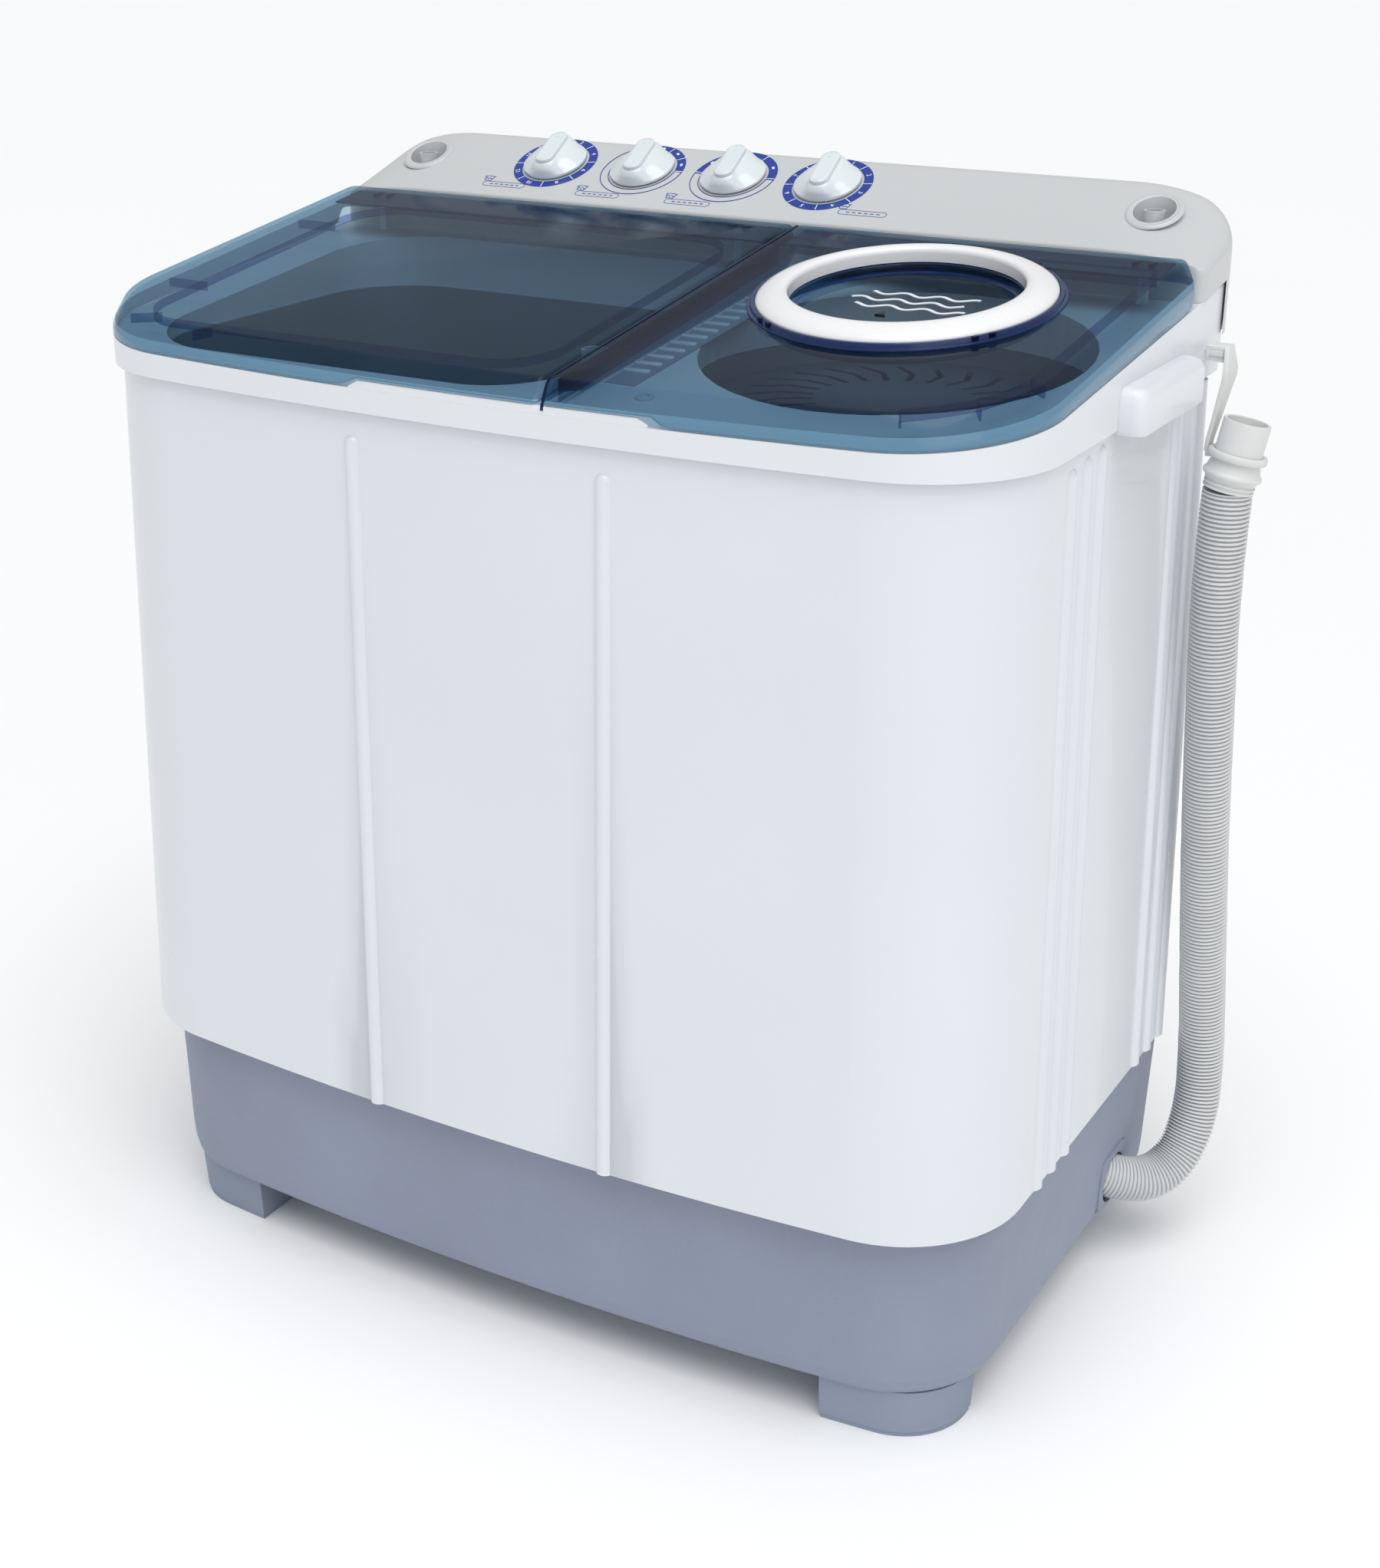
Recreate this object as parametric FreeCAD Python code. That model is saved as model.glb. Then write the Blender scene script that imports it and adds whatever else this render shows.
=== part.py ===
import FreeCAD, Part
import math
import os

V = FreeCAD.Vector
os.makedirs("parts", exist_ok=True)

# ---------------------------------------------------------------- driving dimensions (mm)
Y_SHIFT = 11.0            # moves the design frame so that the origin is under the middle of the depth
FRAME_HW = 370.0          # half width of the top frame and the lids
FRAME_FRONT = -240.0
CAB_HW_TOP = 365.0        # half width of the cabinet at the parting line
CAB_HW_BOT = 376.0        # and at its lower edge (moulding draft)
CAB_FRONT_TOP = -234.5
CAB_FRONT_BOT = -238.0
CAB_REAR = 200.0
CORNER_R = 97.0
BOW_R = 3090.0            # plan radius of the bowed front
Z_PART = 715.0            # cabinet to top frame parting line
Z_CAB = 180.0             # lower edge of the cabinet
BASE_HW_TOP, BASE_HW_BOT = 367.2, 361.6
BASE_FRONT_TOP, BASE_FRONT_BOT = -217.0, -216.2
BASE_REAR = 205.0
Z_BASE = 40.0
WALL = 3.0

DECK_SLOPE = 0.111        # rise of the frame deck towards the rear
DECK_Z0 = 745.0           # deck height at y = -120
LID_SLOPE = math.radians(8.0)
LID_REAR_Y, LID_REAR_Z = 128.0, 804.0
LID_SKIN = 2.6
SEAM_X = 55.6             # gap between the two lids
HINGE_Y, HINGE_Z, HINGE_R = 118.0, 794.0, 2.5
LID_EDGE_R = 11.0         # rounded rear edge, concentric with the hinge

CON_FRONT, CON_REAR = 130.4, 218.0
PANEL_Y0, PANEL_Z0 = 130.4, 805.0
PANEL_SLOPE = math.radians(25.2)
CON_TOP = 843.5
CON_HW = 372.0

KNOB_X = (-190.9, -108.4, -25.9, 56.6)
KNOB_Y = 177.0
DIAL_R = 35.5
KNOB_R = 26.5

SPIN_X, SPIN_Y = 214.0, -36.0
VENT_X, VENT_Y = 210.0, -14.0
VENT_RO, VENT_RI = 103.0, 82.0
BASKET_R = 106.0
SPIN_TUB_R = 138.0
WASH_X, WASH_Y = -143.0, -46.0
WASH_TOP = (-322.0, 36.0, -205.0, 112.0, 70.0)
WASH_BOT = (-302.0, 16.0, -187.0, 95.0, 60.0)
PULSATOR_R = 132.0

TUB_TOP = 729.5          # upper edge of the wash tub

HOSE_D = 36.0
ROUTE = [(352, 112, 76), (379, 130, 62), (402, 160, 72), (410, 180, 110),
         (408, 186, 166), (404, 178, 248), (401, 160, 362), (399.5, 143, 488),
         (398.5, 134, 578), (400.5, 134, 642)]
CUFF_TIP = (409.0, 139.0, 692.0)

written = {}


def box(x0, x1, y0, y1, z0, z1):
    return Part.makeBox(x1 - x0, y1 - y0, z1 - z0, V(x0, y0, z0))


def cyl(r, p, d, h):
    return Part.makeCylinder(r, h, V(*p), V(*d))


def cone(r0, r1, p, d, h):
    return Part.makeCone(r0, r1, h, V(*p), V(*d))


def fuse(*s):
    r = s[0]
    if len(s) > 1:
        r = r.multiFuse(list(s[1:]))
    return r.removeSplitter()


def outline(hw, yf, yr, rc, rr, z, bow=BOW_R):
    """Plan outline: straight sides and rear, bowed front, rounded corners."""
    yc0 = yf + bow
    yc = yc0 - math.sqrt((bow - rc) ** 2 - (hw - rc) ** 2)
    cx = hw - rc
    ux, uy = cx / (bow - rc), (yc - yc0) / (bow - rc)
    tx, ty = bow * ux, yc0 + bow * uy
    a0, a1 = math.atan2(ty - yc, tx - cx), 0.0
    am = (a0 + a1) / 2
    mx, my = cx + rc * math.cos(am), yc + rc * math.sin(am)
    k = rr * (1 - math.sqrt(0.5))
    e = [Part.Arc(V(-tx, ty, z), V(0, yf, z), V(tx, ty, z)).toShape(),
         Part.Arc(V(tx, ty, z), V(mx, my, z), V(hw, yc, z)).toShape(),
         Part.LineSegment(V(hw, yc, z), V(hw, yr - rr, z)).toShape(),
         Part.Arc(V(hw, yr - rr, z), V(hw - k, yr - k, z), V(hw - rr, yr, z)).toShape(),
         Part.LineSegment(V(hw - rr, yr, z), V(-hw + rr, yr, z)).toShape(),
         Part.Arc(V(-hw + rr, yr, z), V(-hw + k, yr - k, z), V(-hw, yr - rr, z)).toShape(),
         Part.LineSegment(V(-hw, yr - rr, z), V(-hw, yc, z)).toShape(),
         Part.Arc(V(-hw, yc, z), V(-mx, my, z), V(-tx, ty, z)).toShape()]
    return Part.Wire(e)


def prism(w, h):
    return Part.Face(w).extrude(V(0, 0, h))


def loft(*w):
    return Part.makeLoft(list(w), True, True)


def rwire(x0, x1, y0, y1, r, z):
    k = r * (1 - math.sqrt(0.5))
    e = [Part.LineSegment(V(x0 + r, y0, z), V(x1 - r, y0, z)).toShape(),
         Part.Arc(V(x1 - r, y0, z), V(x1 - k, y0 + k, z), V(x1, y0 + r, z)).toShape(),
         Part.LineSegment(V(x1, y0 + r, z), V(x1, y1 - r, z)).toShape(),
         Part.Arc(V(x1, y1 - r, z), V(x1 - k, y1 - k, z), V(x1 - r, y1, z)).toShape(),
         Part.LineSegment(V(x1 - r, y1, z), V(x0 + r, y1, z)).toShape(),
         Part.Arc(V(x0 + r, y1, z), V(x0 + k, y1 - k, z), V(x0, y1 - r, z)).toShape(),
         Part.LineSegment(V(x0, y1 - r, z), V(x0, y0 + r, z)).toShape(),
         Part.Arc(V(x0, y0 + r, z), V(x0 + k, y0 + k, z), V(x0 + r, y0, z)).toShape()]
    return Part.Wire(e)


def rbox(x0, x1, y0, y1, r, z0, z1):
    return prism(rwire(x0, x1, y0, y1, r, z0), z1 - z0)


def poly_x(pts, x0, x1):
    """Profile in the Y-Z plane, extruded along X."""
    p = [V(x0, y, z) for y, z in pts]
    return Part.Face(Part.makePolygon(p + [p[0]])).extrude(V(x1 - x0, 0, 0))


def ngon(r, n, x, y, z, h):
    """Upright prism on a regular polygon whose corners lie on radius r."""
    p = [V(x + r * math.cos(2 * math.pi * i / n), y + r * math.sin(2 * math.pi * i / n), z) for i in range(n)]
    return Part.Face(Part.makePolygon(p + [p[0]])).extrude(V(0, 0, h))


def fillet(s, r, pick):
    e = [x for x in s.Edges if pick(x)]
    if not e:
        print("no edge to round")
        return s
    try:
        t = s.makeFillet(r, e)
        if t.isValid() and t.Volume > 0:
            return t
    except Exception:
        pass
    n = 0
    for x in e:
        try:
            t = s.makeFillet(r, [x])
            if t.isValid() and abs(t.Volume - s.Volume) < 0.05 * abs(s.Volume):
                s, n = t, n + 1
                break
        except Exception:
            pass
    print("rounding fell back, edges", len(e), "done", n)
    return s


def deck_z(y):
    return DECK_Z0 + (y + 120.0) * DECK_SLOPE


def panel_z(y):
    return PANEL_Z0 + (y - PANEL_Y0) * math.tan(PANEL_SLOPE)


def below_deck(off=0.0):
    """Everything under the sloping deck plane, off mm above it."""
    return poly_x([(-400, 0), (400, 0), (400, deck_z(400) + off), (-400, deck_z(-400) + off)], -500, 500)


def above_deck(off=0.0):
    return poly_x([(-400, 1200), (400, 1200), (400, deck_z(400) + off), (-400, deck_z(-400) + off)], -500, 500)


def save(name, shape, parts=None):
    shape = shape.copy()
    shape.translate(V(0, Y_SHIFT, 0))
    sol = shape.Solids
    if len(sol) == 1:
        shape = sol[0]
    elif len(sol) > 1:
        shape = Part.Compound(sol)
    else:
        raise RuntimeError("no solid in " + name)
    ok = shape.isValid()
    b = shape.BoundBox
    if parts is not None and len(sol) != parts or not ok:
        print("LOOK AT", name, "solids", len(sol), "valid", ok)
    shape.exportStep("parts/%s.step" % name)
    written[name] = shape
    print("%-26s n=%d v=%.1f cm3 x %.1f..%.1f y %.1f..%.1f z %.1f..%.1f" % (
        name, len(sol), shape.Volume / 1000, b.XMin, b.XMax, b.YMin, b.YMax, b.ZMin, b.ZMax))


# ---------------------------------------------------------------- base and feet
def base_w(z, d):
    t = (z - Z_BASE) / (Z_CAB - Z_BASE)
    return outline(BASE_HW_BOT + (BASE_HW_TOP - BASE_HW_BOT) * t - d,
                   BASE_FRONT_BOT + (BASE_FRONT_TOP - BASE_FRONT_BOT) * t + d,
                   BASE_REAR - d, 83 - d, max(12 - d, 3), z)


def stack(levels):
    """Solid through a list of (z, inset) levels of the base outline."""
    out = None
    for (z0, d0), (z1, d1) in zip(levels, levels[1:]):
        part = loft(base_w(z0, d0), base_w(z1, d1))
        out = part if out is None else out.fuse(part)
    return out


def neck_w(z, d):
    return outline(357 - d, -214 + d, BASE_REAR - d, 80 - d, 60 - d, z)


# the lower edge is rounded in steps; a narrower neck stands inside the cabinet
base = stack([(Z_BASE, 8), (Z_BASE + 2, 4.4), (Z_BASE + 6, 2.0), (Z_BASE + 14, 0.5), (Z_BASE + 26, 0), (Z_CAB - 0.4, 0)])
base = base.fuse(prism(neck_w(Z_CAB - 2, 0), 8))
base = base.cut(stack([(Z_BASE + 4, 11), (Z_BASE + 14, 3.6), (Z_BASE + 26, WALL), (Z_CAB - 3.4, WALL)])).cut(prism(neck_w(Z_CAB - 5, WALL), 15))
base = base.fuse(prism(outline(372.5, -234, CAB_REAR - 3.5, 93, 30, 182), 3).cut(prism(neck_w(Z_CAB, 1.2), 10)))
for x in (-250, -150, -50, 50, 150, 250):   # floor vents
    base = base.cut(rbox(x - 6, x + 6, 40, 150, 5.9, Z_BASE - 12, Z_BASE + 18))
base = base.cut(box(345, 390, 93.5, 143.5, 48.5, 95))            # hose outlet
base = base.cut(box(-309, -291, 190, 230, 111, 129))             # supply cord inlet
save("base_tray", base.removeSplitter(), 1)

feet, pads = [], []


def foot_blank(front, d, z0, z1):
    """Band of the foot outline, tapering a little towards the floor."""
    if front:
        return loft(outline(348.7 - d, -203.4 + d, 200 - d, 55 - d, 40, z0), outline(348.7 - d + (z1 - z0) * 0.07, -203.4 + d - (z1 - z0) * 0.07, 200 - d, 57 - d, 40, z1))
    return loft(outline(330 - d, -180, 196 - d, 55, 30 - d, z0), outline(330 - d + (z1 - z0) * 0.07, -180, 196 - d + (z1 - z0) * 0.07, 55, 30 - d, z1))


for sx in (-1, 1):
    for front, y0, y1, xo in ((True, -215, -128, 358), (False, 128, 203, 338)):
        blank, hollow, sole = foot_blank(front, 0, 4, Z_BASE), foot_blank(front, 4, 9, Z_BASE), foot_blank(front, 1.0, 0, 4)
        xa, xb = sorted((sx * (257 if front else 246), sx * xo))
        foot = blank.common(rbox(xa, xb, y0, y1, 10, 0, 60))
        foot = foot.cut(hollow.common(rbox(xa + 4, xb - 4, y0 + 4, y1 - 4, 6, 9, 60)))
        feet.append(foot)
        pads.append(sole.common(rbox(xa + 1, xb - 1, y0 + 1, y1 - 1, 9, 0, 60)))
save("feet", Part.Compound(feet), 4)
save("foot_pads", Part.Compound(pads), 4)


# ---------------------------------------------------------------- cabinet
def cab_w(z, d=0.0):
    t = (z - Z_CAB) / (Z_PART - Z_CAB)
    return outline(CAB_HW_BOT + (CAB_HW_TOP - CAB_HW_BOT) * t - d,
                   CAB_FRONT_BOT + (CAB_FRONT_TOP - CAB_FRONT_BOT) * t + d,
                   CAB_REAR - d, CORNER_R - d, 30 - d, z)


def cab_hw(z):
    return CAB_HW_BOT + (CAB_HW_TOP - CAB_HW_BOT) * (z - Z_CAB) / (Z_PART - Z_CAB)


def front_y(x, yf=CAB_FRONT_TOP):
    return yf + BOW_R - math.sqrt(BOW_R ** 2 - x ** 2)


def slant_bar(x0, y0, z0, x1, y1, z1, r):
    d = V(x1 - x0, y1 - y0, z1 - z0)
    return Part.makeCylinder(r, d.Length, V(x0, y0, z0), d)


cab = loft(cab_w(Z_CAB), cab_w(Z_PART))
beads = []
for sx in (-1, 1):
    for y, zt in ((-95, 697), (-68, 699), (-41, 701), (113, 711), (141, 711), (170, 711)):
        b = slant_bar(sx * (cab_hw(Z_CAB) - 6.2), y, Z_CAB, sx * (cab_hw(zt) - 6.2), y, zt, 9.4)
        beads.append(b)
        beads.append(Part.makeSphere(9.4, V(sx * (cab_hw(zt) - 6.2), y, zt)) if zt < 705 else b)
    beads.append(slant_bar(sx * 100, front_y(100, CAB_FRONT_BOT) + 3.2, Z_CAB,
                           sx * 100, front_y(100, CAB_FRONT_TOP - 0.15) + 3.2, 691, 6.6))
    beads.append(Part.makeSphere(6.6, V(sx * 100, front_y(100, CAB_FRONT_TOP - 0.15) + 3.2, 691)))
cab = cab.multiFuse([b for i, b in enumerate(beads) if b is not beads[i - 1]])
cab = cab.cut(loft(cab_w(Z_CAB - 10, WALL), cab_w(Z_PART + 10, WALL)))
cab = cab.common(box(-500, 500, -400, 400, Z_CAB, Z_PART))
cab = cab.cut(box(-300, 300, 190, 230, 235, 690))
cab = cab.cut(box(-334, 334, 190, 210, 170, 187))               # the base stands behind the shell here
for sx in (-1, 1):
    for z in (228, 462, 697):
        cab = cab.cut(box(sx * 307 - 1.95, sx * 307 + 1.95, 190, 203, z - 1.95, z + 1.95))
save("cabinet_shell", cab.removeSplitter(), 1)

rear = rbox(-315, 315, 0, 485, 12, 0, 2.0)
for i in range(9):
    for sx in (-1, 1):
        rear = rear.cut(rbox(sx * 150 - 60, sx * 150 + 60, 60 + 14 * i, 65 + 14 * i, 2.4, -5, 5))
rear.rotate(V(0, 0, 0), V(1, 0, 0), 90)
rear.translate(V(0, CAB_REAR + 2.2, 220))
rear_screws = []
for sx in (-1, 1):
    for z in (228, 462, 697):
        rear = rear.cut(cyl(2.2, (sx * 307, 190, z), (0, 1, 0), 30))
        rear_screws.append(cyl(4.0, (sx * 307, CAB_REAR + 2.2, z), (0, 1, 0), 2.2).fuse(
            cyl(1.9, (sx * 307, CAB_REAR - 2.5, z), (0, 1, 0), 5)))
save("rear_cover", rear, 1)
save("rear_cover_screws", Part.Compound(rear_screws), 6)

gland = cyl(8.8, (-300, 198, 120), (0, 1, 0), 8).fuse(cyl(13, (-300, BASE_REAR, 120), (0, 1, 0), 6))
gland = gland.cut(cyl(4.0, (-300, 190, 120), (0, 1, 0), 30))
save("supply_cord_inlet", gland, 1)

# ---------------------------------------------------------------- top frame
w0 = outline(FRAME_HW, FRAME_FRONT, 214, CORNER_R + 3, 32, Z_PART)
frame = prism(w0, 110).common(below_deck(-0.5))
inner = prism(outline(FRAME_HW - WALL, FRAME_FRONT + WALL, 211, CORNER_R, 29, Z_PART - 5), 110).common(below_deck(-3.5))
frame = frame.cut(inner)
skirts, holes = [], []
x0, x1, y0, y1, r = WASH_TOP
skirts.append(rbox(x0 - 3, x1 + 3, y0 - 3, y1 + 3, r + 3, TUB_TOP + 0.1, 800))
holes.append(rbox(x0, x1, y0, y1, r, 700, 800))
skirts.append(ngon(SPIN_TUB_R, 40, SPIN_X, SPIN_Y, 733.1, 60))
holes.append(ngon(SPIN_TUB_R - 3, 40, SPIN_X, SPIN_Y, 700, 100))
for s in skirts:
    frame = frame.fuse(s.common(below_deck(-0.5)))
for h in holes:
    frame = frame.cut(h)
frame = frame.cut(box(-345, 345, 134, 206, 700, 790))        # room for the controls
handles = []
for sx in (-1, 1):     # carrying handles: pockets open at the bottom
    xa, xb = sorted((sx * 370, sx * 388))
    h = rbox(sx * 379 - 18, sx * 379 + 9, -28, 103, 9, 712, 743) if sx > 0 else rbox(-388, -361, -28, 103, 9, 712, 743)
    h = h.common(box(xa, xb, -40, 120, 700, 760))
    xa, xb = sorted((sx * 360, sx * 385))
    h = h.cut(rbox(xa, xb, -24, 99, 5, 700, 739.5))
    handles.append(h)
for x in (-330, -165, 0, 165, 330):
    frame = frame.cut(box(x - 1.95, x + 1.95, 205, 220, 726.05, 729.95))
frame = frame.removeSplitter()
save("top_frame", frame, 1)
save("carry_handles", Part.Compound(handles), 2)
save("hose_peg", box(370, 387, 140, 150, 731, 739), 1)         # carries the hose hanger

br = []
for xa in (-322, 12, 92, 332):
    b = box(xa - 3, xa + 3, HINGE_Y - 4, HINGE_Y + 4, deck_z(HINGE_Y) - 0.5, HINGE_Z).common(above_deck(-0.5))
    b = b.fuse(cyl(4.8, (xa - 3, HINGE_Y, HINGE_Z), (1, 0, 0), 6)).cut(cyl(HINGE_R + 0.05, (xa - 5, HINGE_Y, HINGE_Z), (1, 0, 0), 10))
    br.append(b)
save("lid_hinge_brackets", Part.Compound(br), 4)


# ---------------------------------------------------------------- lids
def lid_block(d):
    """Both lids as one solid, d mm inside the outer surface; built along the slope, then tilted."""
    c = math.cos(LID_SLOPE)
    yf = (FRAME_FRONT - LID_REAR_Y) / c
    a = loft(outline(FRAME_HW - d, yf + d, 60, CORNER_R + 3 - d, 5, -16 - d * 0.4),
             outline(FRAME_HW - 9.5 - d, yf + 12 + d, 60, CORNER_R - 6 - d, 5, -d))
    b = prism(outline(FRAME_HW - d, yf + d, 60, CORNER_R + 3 - d, 5, -60), 60 - 16 - d * 0.4)
    s = a.fuse(b)
    s.rotate(V(0, 0, 0), V(1, 0, 0), math.degrees(LID_SLOPE))
    s.translate(V(0, LID_REAR_Y, LID_REAR_Z))
    return s.removeSplitter()


lid_outer, lid_inner = lid_block(0), lid_block(LID_SKIN)


def lid(xa, xb, hinge_x, notch):
    s = lid_outer.common(box(xa, xb, -300, 128.9, 600, 900)).common(above_deck(0.0))
    s = s.cut(lid_inner.common(box(xa + LID_SKIN, xb - LID_SKIN, -300, 124.5, 600, 900)))
    zone = box(-400, 400, HINGE_Y, 140, 740, 830)
    tail = s.common(cyl(LID_EDGE_R, (-400, HINGE_Y, HINGE_Z), (1, 0, 0), 800).common(zone))
    s = s.cut(zone).fuse(tail)
    ears, pins = [], []
    for hx in hinge_x:
        s = s.cut(box(hx - 9.5, hx + 9.5, HINGE_Y + 0.01, 131, 740, 801.3))
        for e0 in (hx - 8.0, hx + 4.0):
            ear = cyl(5.6, (e0, HINGE_Y, HINGE_Z), (1, 0, 0), 4).fuse(box(e0, e0 + 4, HINGE_Y - 5, HINGE_Y + 4, HINGE_Z, HINGE_Z + 7))
            ears.append(ear.cut(cyl(HINGE_R, (e0 - 1, HINGE_Y, HINGE_Z), (1, 0, 0), 6)))
        pins.append(cyl(HINGE_R, (hx - 8, HINGE_Y, HINGE_Z), (1, 0, 0), 16))
    s = s.multiFuse(ears)
    for n in notch:     # finger grip notch in the front lip
        s = s.cut(box(n[0], n[1], -260, -228, 700, deck_z(-240) + 7))
    return s.removeSplitter(), pins


wash_lid, wash_pins = lid(-400, SEAM_X - 1.2, (-322, 12), [(-95, SEAM_X)])
spin_lid, spin_pins = lid(SEAM_X + 1.2, 400, (92, 332), [(SEAM_X, 140)])

# stiffening ribs and the skirt inside the wash lid
ribs = rbox(-316, 8, -198, 96, 55, 700, 850).cut(rbox(-313.8, 5.8, -195.8, 93.8, 52.8, 700, 850))
ribs = ribs.common(lid_block(LID_SKIN - 0.4)).common(above_deck(8.0))
wash_lid = wash_lid.fuse(ribs).removeSplitter()
save("wash_lid", wash_lid, 1)
save("wash_lid_hinge_pins", Part.Compound(wash_pins), 2)


def lid_plane_z(y):
    return LID_REAR_Z + (y - LID_REAR_Y) * math.tan(LID_SLOPE)


NL = V(0, -math.sin(LID_SLOPE), math.cos(LID_SLOPE))      # lid plane normal


def on_lid(x, y, h):
    p = V(x, y, lid_plane_z(y)) + NL * h
    return (p.x, p.y, p.z)


nl = (NL.x, NL.y, NL.z)
spin_lid = spin_lid.cut(cyl(93, on_lid(VENT_X, VENT_Y, -12), nl, 40))
collar = cyl(96, on_lid(VENT_X, VENT_Y, -12), nl, 9.6).cut(cyl(93, on_lid(VENT_X, VENT_Y, -20), nl, 40))
spin_lid = spin_lid.fuse(collar).removeSplitter()
save("spin_lid", spin_lid, 1)
save("spin_lid_hinge_pins", Part.Compound(spin_pins), 2)

# air intake: a turning ring with a slotted dish below it
dish = cyl(92.6, on_lid(VENT_X, VENT_Y, -14.5), nl, 15.2)
dish = dish.cut(cyl(79.5, on_lid(VENT_X, VENT_Y, -12.3), nl, 30))
for i in range(10):
    a = math.radians(36 * i)
    c0 = V(VENT_X, VENT_Y, 0)
    p = V(*on_lid(VENT_X, VENT_Y, -20)) + V(1, 0, 0) * (55 * math.cos(a)) + V(0, NL.z, -NL.y) * (55 * math.sin(a))
    dish = dish.cut(cyl(8.0, (p.x, p.y, p.z), nl, 12))
ringp = []
prof = [(80.5, 1.0), (80.5, 9.0), (83.0, 11.8), (87.5, 12.2), (96.5, 9.4), (103.0, 4.6), (103.0, 1.0)]
pw = Part.makePolygon([V(r_, 0, h_) for r_, h_ in prof + [prof[0]]])
ring_s = Part.Face(pw).revolve(V(0, 0, 0), V(0, 0, 1), 360)
ring_s.rotate(V(0, 0, 0), V(1, 0, 0), math.degrees(LID_SLOPE))
ring_s.translate(V(VENT_X, VENT_Y, lid_plane_z(VENT_Y)))
save("air_vent_ring", ring_s, 1)
save("air_vent_dish", dish.removeSplitter(), 1)

# flange of the air intake, fixed to the lid round the ring
fl = cyl(109.0, on_lid(VENT_X, VENT_Y, 0.02), nl, 1.6).fuse(cyl(106.5, on_lid(VENT_X, VENT_Y, 0.02), nl, 4.6)).cut(cyl(103.6, on_lid(VENT_X, VENT_Y, -3), nl, 10))
save("air_vent_flange", fl.removeSplitter(), 1)

# loose inner safety cover that lies on a ledge in the mouth of the spin tub
COVER_Z = 717.0
COVER_R = 122.0
cov = cyl(COVER_R, (SPIN_X, SPIN_Y, COVER_Z), (0, 0, 1), 3)
cov = cov.fuse(cyl(COVER_R, (SPIN_X, SPIN_Y, COVER_Z - 6), (0, 0, 1), 7).cut(cyl(COVER_R - 2.5, (SPIN_X, SPIN_Y, COVER_Z - 8), (0, 0, 1), 20)))
slots = []
for i in range(24):      # curved air slots, each of two straight runs
    a = 15.0 * i
    if 235 < a < 275:
        continue
    sl = rbox(56, 82, -2.4, 2.4, 2.39, -20, 20)
    s2 = rbox(-2.4, 28, -2.4, 2.4, 2.39, -20, 20)
    s2.rotate(V(0, 0, 0), V(0, 0, 1), 32)
    s2.translate(V(79.6, 0, 0))
    sl = sl.fuse(s2)
    sl.rotate(V(0, 0, 0), V(0, 0, 1), a)
    sl.translate(V(SPIN_X, SPIN_Y, COVER_Z))
    slots.append(sl)
cov = cov.cut(Part.Compound(slots))
GRIP_X, GRIP_Y = 195.0, -137.0
grip = cyl(27, (GRIP_X, GRIP_Y, COVER_Z - 10), (0, 0, 1), 30).common(box(GRIP_X - 40, GRIP_X + 40, GRIP_Y, GRIP_Y + 60, 600, 800))
cov = cov.cut(grip)
save("spin_safety_cover", cov.removeSplitter(), 1)

# ---------------------------------------------------------------- control console
t = math.tan(PANEL_SLOPE)


def con_solid(d):
    yb = CON_REAR - d
    top = CON_TOP - d
    yt = PANEL_Y0 + (top - PANEL_Z0 + d / math.cos(PANEL_SLOPE)) / t
    s = poly_x([(CON_FRONT + d, 700), (CON_FRONT + d, PANEL_Z0 - d / math.cos(PANEL_SLOPE) + d * t), (yt, top),
                (yb, top), (yb, 700)], -CON_HW + d, CON_HW - d)
    a = CON_HW - d
    e = [Part.LineSegment(V(-a, 0, 700), V(a, 0, 700)).toShape(),
         Part.LineSegment(V(a, 0, 700), V(a, 0, 806)).toShape(),
         Part.Arc(V(a, 0, 806), V(a - 18, 0, 830 - d), V(a - 75, 0, CON_TOP + 3 - d)).toShape(),
         Part.LineSegment(V(a - 75, 0, CON_TOP + 3 - d), V(-a + 75, 0, CON_TOP + 3 - d)).toShape(),
         Part.Arc(V(-a + 75, 0, CON_TOP + 3 - d), V(-a + 18, 0, 830 - d), V(-a, 0, 806)).toShape(),
         Part.LineSegment(V(-a, 0, 806), V(-a, 0, 700)).toShape()]
    f = Part.Face(Part.Wire(e)).extrude(V(0, 500, 0))
    s = s.common(f)
    plan = rbox(-CON_HW + d, CON_HW - d, CON_FRONT - 60, CON_REAR - d, 34 - d, 700, 900)
    return s.common(plan)


con = con_solid(0)
con = fillet(con, 6.0, lambda e: e.BoundBox.ZMin > CON_TOP - 0.5 and e.BoundBox.XLength > 400)
cut_low = above_deck(-0.5).fuse(box(-500, 500, 214.0, 300, 742, 900))
con = con.common(cut_low)
con = con.cut(con_solid(WALL).common(box(-500, 500, 0, 400, 690, 900)))
npan = V(0, -math.sin(PANEL_SLOPE), math.cos(PANEL_SLOPE))
npn = (0, npan.y, npan.z)
up_pan = V(0, math.cos(PANEL_SLOPE), math.sin(PANEL_SLOPE))


def on_panel(x, y, h):
    p = V(x, y, panel_z(y)) + npan * h
    return (p.x, p.y, p.z)


for kx in KNOB_X:
    con = con.cut(cyl(5.0, on_panel(kx, KNOB_Y, -20), npn, 40))
for sx in (-1, 1):
    con = con.cut(cyl(17.5, (sx * 317, 176, 780), (0, 0, 1), 90))
save("console_housing", con.removeSplitter(), 1)

rings = []
for kx in KNOB_X:
    rings.append(cyl(DIAL_R, on_panel(kx, KNOB_Y, 0.02), npn, 0.7).cut(cyl(KNOB_R + 1.3, on_panel(kx, KNOB_Y, -1), npn, 10)))
save("dial_rings", Part.Compound(rings), 4)

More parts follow.
